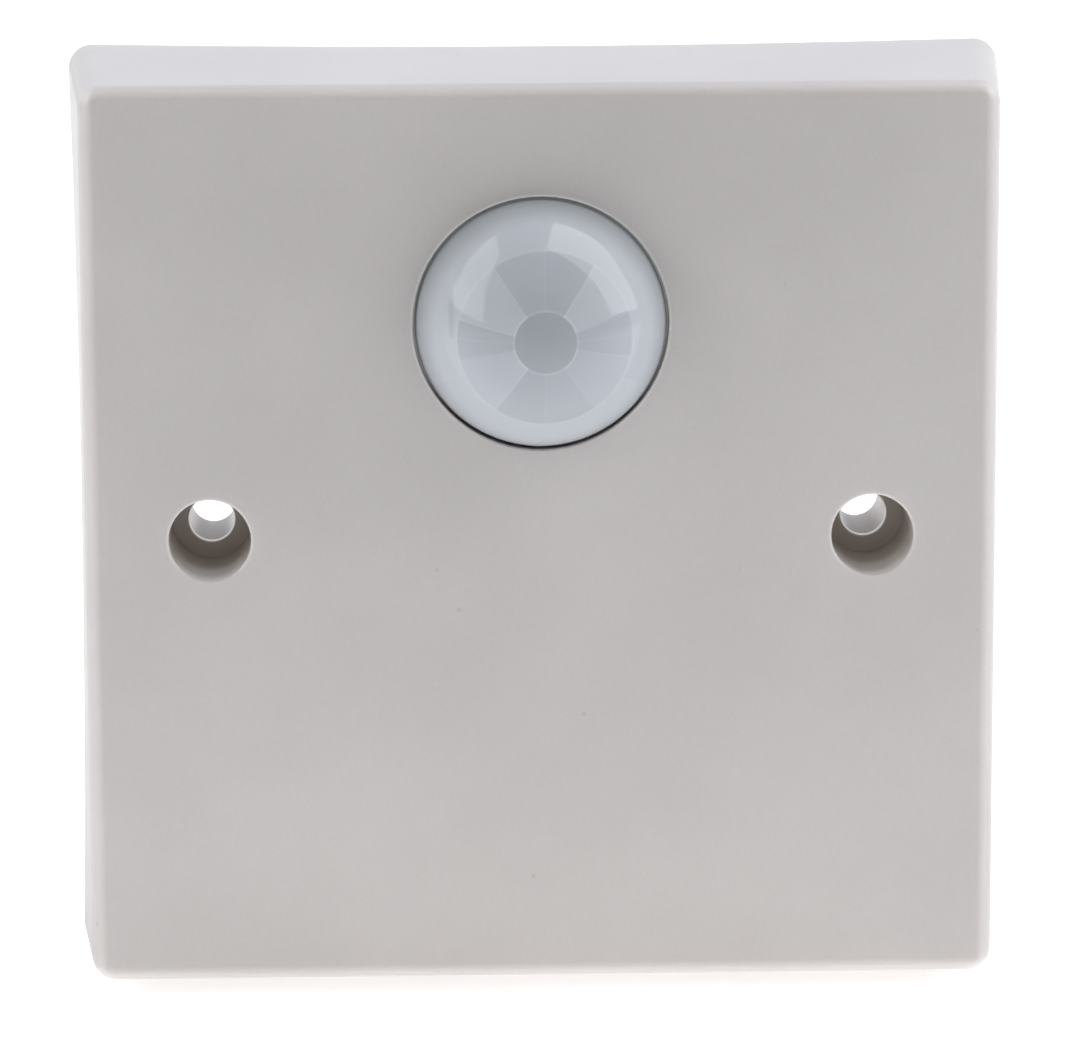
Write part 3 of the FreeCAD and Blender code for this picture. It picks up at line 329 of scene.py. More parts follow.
@dataclass(frozen=True)
class Moulding(Finish):
    """A moulded thermoplastic with a fine satin grain and a few specks."""

    colour: Colour
    roughness: float = 0.42
    grain_size: float = 0.22
    grain_depth: float = 0.006
    tint: float = 0.03
    specks: float = 0.0
    speck_spacing: float = 6.5
    speck_strength: float = 0.17
    speck_colour: Colour = (0.12, 0.09, 0.07)
    depth_of_glow: float = 0.0
    glow_share: float = 0.25
    glow_reach: Colour = (1.0, 0.85, 0.7)

    def surface(self, shader: Shader) -> dict:
        """Set up flow clouds, grain, specks and a slightly uneven gloss.

        Args:
            shader: the shader to build in.

        Returns:
            The surface's inputs by name.
        """
        flow = shader.noise(size=22.0, detail=3.0)
        grain = shader.noise(self.grain_size, detail=3.0)
        colour = shader.mix(shader.patches(flow), scaled(self.colour, 1.0 - self.tint),
                            scaled(self.colour, 1.0 + self.tint))
        colour = shader.mix(shader.patches(grain) * self.tint, colour, BLACK)
        if self.specks:
            dots = shader.fade(shader.cells(self.speck_spacing), self.specks, self.specks * 0.4)
            colour = shader.mix(dots * self.speck_strength, colour, self.speck_colour)
        return {
            "Base Color": colour,
            "Roughness": self.roughness + flow.swing(0.08) + grain.swing(0.10),
            "Normal": shader.bump(grain, self.grain_depth),
            "IOR": 1.49,
            "Subsurface Weight": self.glow_share if self.depth_of_glow else 0.0,
            "Subsurface Radius": tuple(self.depth_of_glow * reach for reach in self.glow_reach),
            "Subsurface Scale": MM,
        }


class By(Enum):
    """What a zone of the plate goes by: a distance, or how far the surface faces one way."""

    ACROSS = "to the right of the middle"
    RISE = "above the fixing holes"
    EDGE = "out towards the left, the right or the foot"
    DEPTH = "behind the face"
    FLOOR = "behind the floor of a recess"
    RECESS = "outside the nearer recess"
    BORE = "outside the nearer bore"
    LENS = "outside the lens opening"
    LENS_RISE = "above the middle of the lens"
    UP = "how far it faces up"
    RIGHT = "how far it faces right"
    ASIDE = "how far it faces left or right"


Window = tuple[By, float, float] | tuple[By, float, float, float, float]


@dataclass(frozen=True)
class Zone:
    """A soft-edged zone of the plate that takes painted light or painted shade.

    Each window is what it goes by, with the values that give 0 and 1. A window that closes
    again also has the values where it is still 1 and where it is 0.
    """

    strength: float
    windows: tuple[Window, ...]

    def cover(self, shader: Shader, spot: dict[By, Amount]) -> Amount:
        """Give the zone's strength at a point.

        Args:
            shader: the shader to build in.
            spot: the point's own values.

        Returns:
            The full strength within every window, and 0 outside any of them.
        """
        amount = self.strength
        for by, *marks in self.windows:
            amount *= shader.fade(spot[by], marks[0], marks[1])
            if len(marks) > 2:
                amount *= shader.fade(spot[by], marks[3], marks[2])
        return amount


# windows of the painted light round the recesses and the lens opening
LOW_WALL = ((By.UP, 0.35, 0.80), (By.RECESS, 0.10, 0.02))
LENS_RIM = ((By.LENS, -0.14, -0.02, 0.14, 0.26), (By.DEPTH, 0.3, 0.12))
LENS_THROAT = ((By.LENS, 0.08, 0.02), (By.DEPTH, 0.1, 0.3, 0.4, 0.9))
ABOVE_FOOT = (By.LENS_RISE, -11.4, -7.5)


@dataclass(frozen=True)
class PlatePlastic(Moulding):
    """The plate's plastic, with painted light on its lips, recesses and edges, and painted shade on
    its left wall.
    """

    face: float = -19.0
    lens_height: float = 19.75
    pillar_across: float = 30.15
    recess: float = 3.75
    recess_floor: float = -9.0
    bore: float = 2.05
    aperture: float = 11.6
    # colour of the painted light that the zones below add by emission
    painted_light_colour: Colour = (1.0, 0.99, 0.97)
    # painted warm light inside the recesses, by emission, over the zone below
    recess_painted_glow: Colour = (0.0062, 0.0038, 0.0004)
    recesses: Zone = Zone(1.0, ((By.RECESS, 0.10, 0.02), (By.DEPTH, 0.2, 0.6)))
    # painted shade: the left side wall made darker and warmer by the way it faces
    left_painted_shade_tone: Colour = (0.10, 0.05, 0.0)
    left_wall_painted_shade: Zone = Zone(0.24, ((By.ACROSS, -41.0, -41.6), (By.RIGHT, -0.85, -0.97)))
    # painted light, by emission, on each zone below
    lights: tuple[Zone, ...] = (
        # painted light on the low wall of a recess, then more near its mouth, then on its lip
        Zone(0.050, (*LOW_WALL, (By.DEPTH, 0.2, 0.6, 4.7, 5.9))),
        Zone(0.04, (*LOW_WALL, (By.DEPTH, 0.2, 0.6, 0.4, 3.0))),
        Zone(0.06, ((By.RECESS, -0.10, 0.02, 0.18, 0.30), (By.DEPTH, 0.3, 0.12),
                    (By.RISE, -3.6, -1.8))),
        # painted light on the sides of a bore, then on its lip
        Zone(0.14, ((By.BORE, 0.10, 0.02), (By.FLOOR, 0.1, 0.4), (By.ASIDE, 0.45, 1.0))),
        Zone(0.40, ((By.BORE, -0.09, -0.018, 0.078, 0.15), (By.FLOOR, -0.3, -0.05, 0.25, 0.5))),
        # painted light on the rim round the lens and the throat behind it, each with more above the
        # foot
        Zone(0.023, LENS_RIM),
        Zone(0.092, (*LENS_RIM, ABOVE_FOOT)),
        Zone(0.016, LENS_THROAT),
        Zone(0.064, (*LENS_THROAT, ABOVE_FOOT)),
        # painted light on the foot, then the sides of the face, then its top
        Zone(0.09, ((By.UP, -0.15, -0.80), (By.DEPTH, 3.0, 1.6))),
        Zone(0.06, ((By.EDGE, 40.0, 40.6, 40.75, 41.3), (By.DEPTH, 1.0, 0.5))),
        Zone(0.035, ((By.UP, 0.2, 0.45, 0.65, 0.95), (By.DEPTH, 1.6, 1.0), (By.RISE, 39.0, 40.0))),
    )

    def locate(self, shader: Shader) -> dict[By, Amount]:
        """Give all that a zone can go by.

        Args:
            shader: the shader to build in.

        Returns:
            The point's own values.
        """
        across, depth, rise = shader.spot()
        off_middle = abs(across) - self.pillar_across
        off_pillar = (off_middle * off_middle + rise * rise) ** 0.5
        lens_rise = rise - self.lens_height
        right = shader.facing(Axis.ACROSS)
        return {
            By.ACROSS: across,
            By.RISE: rise,
            By.EDGE: shader.maths("MAXIMUM", abs(across), rise * -1.0),
            By.DEPTH: depth - self.face,
            By.FLOOR: depth - self.recess_floor,
            By.RECESS: off_pillar - self.recess,
            By.BORE: off_pillar - self.bore,
            By.LENS: (across * across + lens_rise * lens_rise) ** 0.5 - self.aperture,
            By.LENS_RISE: lens_rise,
            By.UP: shader.facing(Axis.HEIGHT),
            By.RIGHT: right,
            By.ASIDE: abs(right),
        }

    def surface(self, shader: Shader) -> dict:
        """Add the painted light to the plain moulding, and paint shade on its left wall.

        Args:
            shader: the shader to build in.

        Returns:
            The surface's inputs by name.
        """
        settings = super().surface(shader)
        spot = self.locate(shader)
        # painted shade on the left wall
        settings["Base Color"] = shader.mix(self.left_wall_painted_shade.cover(shader, spot),
                                            settings["Base Color"], self.left_painted_shade_tone)
        # painted light by emission: the warm glow in the recesses and the light of every zone
        glow = shader.mix(self.recesses.cover(shader, spot), BLACK, self.recess_painted_glow)
        light = sum(zone.cover(shader, spot) for zone in self.lights)
        settings["Emission Color"] = shader.mix(light, glow, self.painted_light_colour, Mixing.ADD)
        settings["Emission Strength"] = 1.0
        return settings


@dataclass(frozen=True)
class Plated(Finish):
    """A plated or drawn metal with fine marks along one axis."""

    colour: Colour
    roughness: float = 0.3
    streak_size: float = 0.5
    streak_squash: Point = (1.0, 0.08, 1.0)
    wear: float = 0.12

    def surface(self, shader: Shader) -> dict:
        """Set up drawn streaks, cloudy plating and duller worn patches.

        Args:
            shader: the shader to build in.

        Returns:
            The surface's inputs by name.
        """
        streaks = shader.noise(self.streak_size, detail=4.0, squash=self.streak_squash)
        clouds = shader.noise(size=3.0, detail=3.0)
        return {
            "Base Color": shader.mix(shader.patches(clouds, softness=0.15), self.colour,
                                     scaled(self.colour, 1.0 - self.wear)),
            "Metallic": 1.0,
            "Roughness": self.roughness + streaks.swing(0.25) + clouds.swing(0.15),
            "Normal": shader.bump(streaks, depth=0.004),
        }


@dataclass(frozen=True)
class Laminate(Finish):
    """A circuit board: resist over copper tracks, with bare laminate at its edges."""

    track_pitch: float = 2.54
    track_half_width: float = 0.35
    gap_share: float = 0.45
    via_reach: float = 0.075
    edge_facing: Fade = (0.4, 0.6)
    resist: Colour = (0.012, 0.085, 0.040)
    over_copper: Colour = (0.022, 0.150, 0.065)
    tinned: Colour = (0.55, 0.50, 0.38)
    bare: Colour = (0.42, 0.36, 0.17)

    def surface(self, shader: Shader) -> dict:
        """Set up tracks on a grid, tinned vias, a weave and cut edges.

        Args:
            shader: the shader to build in.

        Returns:
            The surface's inputs by name.
        """
        across, _, height = shader.spot()
        turns = shader.noise(size=9.0, detail=0.0) > 0.5
        tracks = self.on_track(across) * turns + self.on_track(height) * (1.0 - turns)
        copper = tracks * (shader.cells(size=7.0) > self.gap_share)
        vias = shader.cells(size=3.4) < self.via_reach
        weave = shader.noise(size=0.35, detail=1.0)
        cut = 1.0 - shader.fade(abs(shader.facing(Axis.DEPTH)), *self.edge_facing)
        colour = shader.mix(copper, self.resist, self.over_copper)
        colour = shader.mix(vias, colour, self.tinned)
        return {
            "Base Color": shader.mix(cut, colour, self.bare),
            "Metallic": vias * (1.0 - cut),
            "Roughness": 0.28 + cut * 0.5 + weave.swing(0.1),
            "Normal": shader.bump(copper * (1.0 - cut) + weave * 0.1, depth=0.03),
        }

    def on_track(self, place: Amount) -> Amount:
        """Give 1 where a coordinate lies on one of the evenly spaced tracks."""
        return abs(place % self.track_pitch - self.track_pitch / 2) < self.track_half_width


@dataclass(frozen=True)
class Case(Finish):
    """A component's moulded or dipped case, with a gloss of its own."""

    colour: Colour
    roughness: float = 0.5
    coat: float = 0.0

    def surface(self, shader: Shader) -> dict:
        """Set up a fine texture, faint mould clouds and an uneven gloss.

        Args:
            shader: the shader to build in.

        Returns:
            The surface's inputs by name.
        """
        clouds = shader.noise(size=4.0, detail=3.0)
        texture = shader.noise(size=0.3, detail=2.0)
        return {
            "Base Color": shader.mix(shader.patches(clouds), scaled(self.colour, factor=0.86),
                                     scaled(self.colour, factor=1.12, lift=0.004)),
            "Roughness": self.roughness + texture.swing(0.16),
            "Coat Weight": self.coat,
            "Normal": shader.bump(texture, depth=0.01),
        }


@dataclass(frozen=True)
class ChipBody(Finish):
    """Small chip parts in a row: each has a dark or tan middle and two tinned ends."""

    colour: Colour
    pitch: float
    first: float
    middle: float = 0.62
    border: float = 0.05
    tinned: Colour = (0.62, 0.61, 0.58)

    def surface(self, shader: Shader) -> dict:
        """Set up each part by its own distance to its middle.

        Args:
            shader: the shader to build in.

        Returns:
            The surface's inputs by name.
        """
        across = shader.spot()[0]
        from_middle = abs((across - (self.first - self.pitch / 2)) % self.pitch - self.pitch / 2)
        ends = shader.fade(from_middle, self.middle, self.middle + self.border)
        grain = shader.noise(size=0.15, detail=2.0)
        body = shader.mix(grain, scaled(self.colour, factor=0.8), self.colour)
        return {
            "Base Color": shader.mix(ends, body, self.tinned),
            "Metallic": ends,
            "Roughness": 0.38 + grain * 0.2,
            "Normal": shader.bump(grain + ends, depth=0.02),
        }


@dataclass(frozen=True, kw_only=True)
class Banded(Finish):
    """A case with one band of another colour and another finish along an axis."""

    colour: Colour
    band: Colour
    axis: Axis
    low: float
    high: float
    metal: float = 0.0
    roughness: float = 0.4

    def surface(self, shader: Shader) -> dict:
        """Set up the case, with the band between two levels of the axis.

        Args:
            shader: the shader to build in.

        Returns:
            The surface's inputs by name.
        """
        level = shader.spot()[self.axis.value]
        inside = (level > self.low) * (level < self.high)
        grain = shader.noise(size=0.3, detail=3.0)
        clouds = shader.noise(size=3.0, detail=2.0)
        body = shader.mix(clouds, scaled(self.colour, factor=0.8), self.colour)
        return {
            "Base Color": shader.mix(inside, body, self.band),
            "Metallic": inside * self.metal,
            "Roughness": self.roughness + grain.swing(0.15),
            "Normal": shader.bump(grain, depth=0.006),
        }


@dataclass(frozen=True, kw_only=True)
class Resin(Finish):
    """A cast resin that lets light in, over a darker core."""

    colour: Colour
    core: Colour
    core_reach: Fade = (1.1, 0.35)
    centre: tuple[float, float]

    def surface(self, shader: Shader) -> dict:
        """Set up the resin, with the core round the bulb's own axis.

        Args:
            shader: the shader to build in.

        Returns:
            The surface's inputs by name.
        """
        across, _, height = shader.spot()
        off_axis = ((across - self.centre[0]) ** 2.0 + (height - self.centre[1]) ** 2.0) ** 0.5
        core = shader.fade(off_axis, *self.core_reach)
        return {
            "Base Color": shader.mix(core, self.colour, self.core),
            "Roughness": 0.08 + shader.noise(size=0.8, detail=2.0) * 0.08,
            "Coat Weight": 0.6,
            "Transmission Weight": 0.25,
        }


@dataclass(frozen=True)
class LensSpot:
    """Where a point of the lens lies round the axis that its facets are drawn about."""

    radius: Amount
    turn: Amount
    in_disc: Amount
    in_ring: Amount


@dataclass(frozen=True, kw_only=True)
class LensPlastic(Finish):
    """The lens: milky plastic, with the light and shade of its inner facets painted on as sectors,
    their edges as thin painted lines of light, painted shade at its limb and painted light at its
    foot.
    """

    height: float
    disc: float
    ring: float
    rim: float
    face: float
    facet_angles: tuple[int, ...]
    outer_angles: tuple[int, ...]
    # painted light and shade of the facets: the tone of each inner and outer sector, of the disc and
    # of the pale tips next to it
    facet_tones: tuple[float, ...] = (
        0.36, 0.66, 0.32, 0.35, 0.68, 0.38, 0.34, 0.57, 0.30, 0.36, 0.49, 0.34)
    outer_tones: tuple[float, ...] = (0.70, 0.79, 0.76, 0.68)
    disc_tone: float = 0.07
    tip_length: float = 2.2
    tip_tone: float = 0.10
    pale_facet: Fade = (0.5, 0.54)
    # the axis that the facets are drawn about, from the dome's own: to the right, and upwards
    drawn_at: tuple[float, float] = (0.13, -0.19)
    disc_border: Fade = (0.04, -0.04)
    ring_border: Fade = (0.05, -0.05)
    facet_line: Fade = (0.13, 0.039)
    ring_line: Fade = (0.20, 0.05)
    disc_line: Fade = (0.18, 0.05)
    disc_line_gap: float = 0.12
    # of the facets, the outer facets, the ring and the disc
    line_weights: tuple[float, ...] = (0.6, 0.4, 0.7, 1.4)
    sector_weight: float = 0.80
    cloud_weight: float = 0.10
    line_weight: float = 0.14
    scuff_weight: float = 0.24
    scuff_at: tuple[float, float] = (-8.35, 1.6)
    scuff_across: Fade = (0.30, 0.10)
    scuff_up: Fade = (1.9, 1.2)
    # colours of the tones, the painted light and shade among them
    levels: tuple[tuple[float, Colour], ...] = (
        (0.0, (0.385, 0.405, 0.430)), (0.45, (0.485, 0.508, 0.542)), (1.0, (0.622, 0.635, 0.660)))
    # painted shade towards the limb of the dome, and more at the rim on its upper part
    painted_limb_shade: Colour = (0.20, 0.22, 0.235)
    limb_reach: Fade = (-2.0, 0.2)
    limb_share: float = 0.55
    edge_reach: Fade = (-0.55, 0.0)
    edge_rise: Fade = (0.0, 7.0)
    edge_share: float = 0.3
    # painted light on the foot of the dome behind the face, but not on its lowest part
    painted_foot_light: Colour = (0.115, 0.12, 0.115)
    foot_depth: Fade = (0.1, 2.2)
    foot_rise: Fade = (-9.0, -4.0)

    def surface(self, shader: Shader) -> dict:
        """Set up the sectors and lines of painted light and shade, a milky cloud, painted shade at
        the limb and painted light at the foot.

        Args:
            shader: the shader to build in.

        Returns:
            The surface's inputs by name.
        """
        right, depth, up = shader.spot()
        above = up - self.height
        across = right - self.drawn_at[0]
        rise = above - self.drawn_at[1]
        radius = (across * across + rise * rise) ** 0.5
        spot = LensSpot(
            radius, turn=shader.maths("ARCTAN2", rise, across) * math.degrees(1.0) % FULL_TURN,
            in_disc=shader.fade(radius - self.disc, *self.disc_border),
            in_ring=shader.fade(radius - self.ring, *self.ring_border))
        milk = shader.noise(size=2.4, detail=2.0)
        scuff = (shader.line(across - self.scuff_at[0], *self.scuff_across)
                 * shader.line(rise - self.scuff_at[1], *self.scuff_up))
        # painted light and shade of the facets, with a milky cloud and a scuff
        level = (self.sector_level(shader, spot) * self.sector_weight
                 + milk.swing(self.cloud_weight)
                 + self.line_level(shader, spot) * self.line_weight - scuff * self.scuff_weight)
        past_rim = (right * right + above * above) ** 0.5 - self.rim
        # painted shade at the limb and the rim
        edge = shader.fade(past_rim, *self.edge_reach) * shader.fade(rise, *self.edge_rise)
        limb = shader.fade(past_rim, *self.limb_reach) * self.limb_share + edge * self.edge_share
        # painted light on the foot
        foot = shader.fade(depth - self.face, *self.foot_depth) * shader.fade(rise, *self.foot_rise)
        return {
            "Base Color": shader.mix(limb, shader.ramp(level, self.levels), self.painted_limb_shade),
            "Roughness": 0.07 + milk.swing(0.03),
            "IOR": 1.50,
            "Specular IOR Level": 0.36,
            "Emission Color": shader.mix(foot, BLACK, self.painted_foot_light),
            "Emission Strength": 1.0,
            "Subsurface Weight": 0.15,
            "Subsurface Radius": (0.002, 0.0022, 0.0025),
            "Normal": shader.bump(milk, depth=0.004),
        }

    def sector_level(self, shader: Shader, spot: LensSpot) -> Amount:
        """Give the painted tone of the sector that a point lies in.

        Args:
            shader: the shader to build in.
            spot: the point.

        Returns:
            The tone, from 0 to 1.
        """
        inner, outer = (shader.turn_steps(spot.turn, [(0.0, tones[-1]), *zip(angles, tones)])
                        for angles, tones in ((self.facet_angles, self.facet_tones),
                                              (self.outer_angles, self.outer_tones)))
        tone = outer * (1.0 - spot.in_ring) + inner * spot.in_ring
        tone += (shader.fade(spot.radius - self.disc, self.tip_length, 0.0)
                 * shader.fade(inner, *self.pale_facet) * self.tip_tone)
        return tone * (1.0 - spot.in_disc) + spot.in_disc * self.disc_tone

    def line_level(self, shader: Shader, spot: LensSpot) -> Amount:
        """Give the strength of the thin painted lines of light along the edges of the facets.

        Args:
            shader: the shader to build in.
            spot: the point.

        Returns:
            The strength, 0 off the lines.
        """
        facets = self.radial_lines(shader, spot, self.facet_angles) * spot.in_ring
        lines = (facets * (1.0 - spot.in_disc),
                 self.radial_lines(shader, spot, self.outer_angles) * (1.0 - spot.in_ring),
                 shader.line(spot.radius - self.ring, *self.ring_line),
                 shader.line(spot.radius - self.disc - self.disc_line_gap, *self.disc_line))
        return sum(line * weight for line, weight in zip(lines, self.line_weights))

    def radial_lines(self, shader: Shader, spot: LensSpot, angles: tuple[int, ...]) -> Amount:
        """Give 1 on thin lines that run out from the axis.

        Args:
            shader: the shader to build in.
            spot: the point.
            angles: the lines' angles in degrees, in rising order.

        Returns:
            1 on a line and 0 elsewhere.
        """
        wrapped = [angles[-1] - FULL_TURN, *angles, angles[0] + FULL_TURN]
        nearest = shader.turn_steps(spot.turn, [
            ((before + angle) / 2, angle / FULL_TURN) for before, angle in zip(wrapped, wrapped[1:])])
        lag = (spot.turn - nearest * FULL_TURN) * math.radians(1.0)
        return shader.line(spot.radius * shader.maths("SINE", lag), *self.facet_line)


@dataclass
class LensAssembly:
    """The lens dome with its skirt, flange and faceted inner side, and the ring behind it."""

    wall: float = 0.8
    disc: float = 2.85
    shown_disc: float = 2.76
    ring: float = 7.85
    flange_thick: float = 1.2
    flange_width: float = 2.05
    proud: float = 9.26
    soft: float = 0.08
    rib: float = 0.12
    rib_half_width: float = 0.12
    rib_angle: float = 0.9
    clear_angle: float = 1.35
    sharp_angle: float = 24.0
    cap_rows: int = 48
    bowl_rows: int = 8
    step: int = 3
    facet_angles: tuple[int, ...] = (2, 17, 55, 90, 125, 167, 180, 193, 235, 270, 305, 347)
    outer_angles: tuple[int, ...] = (31, 145, 205, 331)
    height: float = field(init=False)
    apex: float = field(init=False)
    back: float = field(init=False)
    flange: float = field(init=False)
    sphere: float = field(init=False)
    centre: float = field(init=False)

    def __post_init__(self) -> None:
        """Read the lens's place and reach from the frame."""
        low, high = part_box("lens_dome")
        self.height = (low.z + high.z) / 2 / MM
        self.apex = low.y / MM
        self.back = high.y / MM
        self.flange = (high.x - low.x) / 2 / MM
        self.sphere = self.flange - self.flange_width
        self.centre = self.apex + self.sphere

    def turns(self) -> list[float]:
        """List the angles of the mesh's radial lines, with each facet edge among them.

        Returns:
            The angles in degrees, in rising order.
        """
        found = {float(angle) for angle in range(0, 360, self.step)
                 if all(abs(angle - edge) > self.clear_angle for edge in self.facet_angles)}
        for edge in self.facet_angles:
            found |= {edge - self.rib_angle, float(edge), edge + self.rib_angle}
        return sorted(angle % FULL_TURN for angle in found)

    def chord(self, radius: float, turn: float) -> float:
        """Give how far a twelve-sided ring's straight sides lie from the axis.

        Args:
            radius: distance of its corners from the axis.
            turn: angle in degrees.

        Returns:
            The distance at that angle.
        """
        corners = [*self.facet_angles, self.facet_angles[0] + FULL_TURN]
        if turn < corners[0]:
            turn += FULL_TURN
        for first, last in zip(corners, corners[1:]):
            if first <= turn <= last:
                half = math.radians(last - first) / 2
                off = math.radians(turn) - math.radians(first + last) / 2
                return radius * math.cos(half) / math.cos(off)
        return radius

    def inner_depth(self, radius: float) -> float:
        """Give the depth of the inner sphere at a distance from the axis."""
        return self.centre - math.sqrt((self.sphere - self.wall) ** 2 - radius ** 2)

    def outer_rows(self) -> list[tuple[float, float]]:
        """List the rows of the smooth outside, from the apex out.

        Returns:
            The distance and the depth of each row.
        """
        rows = []
        for row in range(1, self.cap_rows + 1):
            angle = math.pi / 2 * row / self.cap_rows
            rows.append((self.sphere * math.sin(angle), self.centre - self.sphere * math.cos(angle)))
        shoulder = self.back - self.flange_thick
        rows += [(self.sphere, shoulder - self.soft), (self.sphere + self.soft, shoulder),
                 (self.flange - self.soft, shoulder), (self.flange, shoulder + self.soft),
                 (self.flange, self.back - self.soft), (self.flange - self.soft, self.back)]
        return rows

    def inner_rows(self) -> list[tuple[float, float, float, bool]]:
        """List the rows of the inner side, from the flange in.

        Returns:
            For each row, its corner distance, its depth, how far its ribs stand out, and
            whether its sides are straight.
        """
        shell = self.sphere - self.wall
        rows = [(shell, self.back, 0.0, False)]
        start = math.asin((self.ring + self.rib_half_width) / shell)
        for row in range(self.bowl_rows + 1):
            angle = math.pi / 2 + (start - math.pi / 2) * row / self.bowl_rows
            rows.append((shell * math.sin(angle), self.centre - shell * math.cos(angle), 0.0, False))
        ring_depth = self.inner_depth(self.ring)
        disc_depth = self.inner_depth(self.disc)
        rows.append((self.ring, ring_depth, self.rib, False))
        span = self.ring - self.disc
        for inset in (self.rib_half_width, span - self.rib_half_width):
            part = inset / span
            rows.append((self.ring - inset, ring_depth + (disc_depth - ring_depth) * part, 0.0, True))
        rows.append((self.disc, disc_depth, self.rib, True))
        rows.append((self.disc - self.rib_half_width, disc_depth, 0.0, True))
        return rows

    def point(self, radius: float, depth: float, turn: float) -> Vector:
        """Place a point by its distance, depth and angle about the lens axis."""
        angle = math.radians(turn)
        return Vector((radius * math.cos(angle), depth, self.height + radius * math.sin(angle))) * MM

    def build(self) -> bpy.types.Object:
        """Build the lens as one closed mesh.

        Returns:
            The lens, linked to the scene.
        """
        mesh = bmesh.new()
        turns = self.turns()
        rings = []
        for radius, depth in self.outer_rows():
            rings.append([mesh.verts.new(self.point(radius, depth, turn)) for turn in turns])
        for radius, depth, stand, straight in self.inner_rows():
            ring = []
            for turn in turns:
                reach = self.chord(radius, turn) if straight else radius
                lift = self.rib if straight and turn in self.facet_angles else 0.0
                ring.append(mesh.verts.new(self.point(reach, depth + max(stand, lift), turn)))
            rings.append(ring)
        apex = mesh.verts.new(self.point(0.0, self.apex, 0.0))
        hub = mesh.verts.new(self.point(0.0, self.inner_rows()[-1][1], 0.0))
        for index in range(len(turns)):
            after = (index + 1) % len(turns)
            for outside, inside in zip(rings, rings[1:]):
                mesh.faces.new((outside[index], outside[after], inside[after], inside[index]))
            mesh.faces.new((apex, rings[0][after], rings[0][index]))
            mesh.faces.new((hub, rings[-1][index], rings[-1][after]))
        bmesh.ops.recalc_face_normals(mesh, faces=mesh.faces)
        data = bpy.data.meshes.new("fresnel_lens")
        mesh.to_mesh(data)
        mesh.free()
        data.shade_smooth()
        data.set_sharp_from_angle(angle=math.radians(self.sharp_angle))
        piece = bpy.data.objects.new("fresnel_lens", data)
        bpy.context.scene.collection.objects.link(piece)
        return piece

    def dress(self) -> None:
        """Build the lens, give it its finish, and dress the ring behind it."""
        piece = self.build()
        plastic = LensPlastic(
            "lens_plastic", height=self.height, disc=self.shown_disc, ring=self.ring,
            rim=self.sphere, face=self.apex + self.proud, facet_angles=self.facet_angles,
            outer_angles=self.outer_angles)
        piece.data.materials.append(plastic.make())
        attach(piece, "housing")
        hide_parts("lens_dome")
        LOG.info("fresnel_lens: %d faces", len(piece.data.polygons))
        cover_nodes({"lens_clamp_ring": Moulding("clamp_ring_plastic", (0.018, 0.018, 0.020), 0.5)})


def cover_nodes(finishes: dict[str, Finish]) -> None:
    """Give nodes of the frame their finishes.

    Args:
        finishes: each node's finish by the node's name.
    """
    for node, finish in finishes.items():
        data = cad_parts[node].data
        data.materials.clear()
        data.materials.append(finish.make())
        LOG.info("%s: %s", node, finish.name)


@dataclass
class FrontPlate:
    """The moulded plate that faces the room."""

    colour: Colour = (0.610, 0.572, 0.551)

    def dress(self) -> None:
        """Give the plate its satin grain, its few specks, its painted light on edges and recesses,
        and painted shade on its left wall.
        """
        plastic = PlatePlastic("plate_moulding", self.colour, 0.40, specks=0.045, depth_of_glow=3.0)
        cover_nodes({"front_plate": plastic})


@dataclass
class SensorBoard:
    """The front board with the heat sensor, its lamp and cell, and the controller."""

    lens_height: float = 19.75
    bulb_offset: float = 7.4

    def dress(self) -> None:
        """Dress the board and what stands on it."""
        cover_nodes({
            "sensor_board": Laminate("board_laminate"),
            "sensor_header": Plated("header_metal", (0.60, 0.55, 0.45), 0.32),
            "sensor_can": Plated("can_metal", (0.66, 0.62, 0.54), 0.22),
            "sensor_window": Case("filter_window", (0.012, 0.010, 0.012), 0.12, coat=0.8),
            "sensor_element": Case("ceramic_white", (0.74, 0.72, 0.66), 0.55),
            "light_cell": Resin("clear_resin", colour=(0.62, 0.66, 0.70), core=(0.10, 0.10, 0.12),
                                centre=(self.bulb_offset, self.lens_height)),
            "indicator_lamp": Resin("red_resin", colour=(0.45, 0.012, 0.010), core=(0.75, 0.10, 0.06),
                                    centre=(-self.bulb_offset, self.lens_height)),
            "controller_chip": Case("chip_moulding", (0.016, 0.016, 0.018), 0.55),
            "chip_resistors": ChipBody("resistor_body", (0.020, 0.020, 0.022), pitch=3.2, first=-8.0),
            "chip_capacitors": ChipBody("capacitor_body", (0.34, 0.20, 0.10), pitch=4.4, first=-6.6),
            "sensor_board_screws": Plated("screw_zinc", ZINC),
            "link_header": Case("header_moulding", (0.014, 0.014, 0.015), 0.45),
            "link_pins": Plated("pin_tin", (0.72, 0.70, 0.62), 0.25),
        })


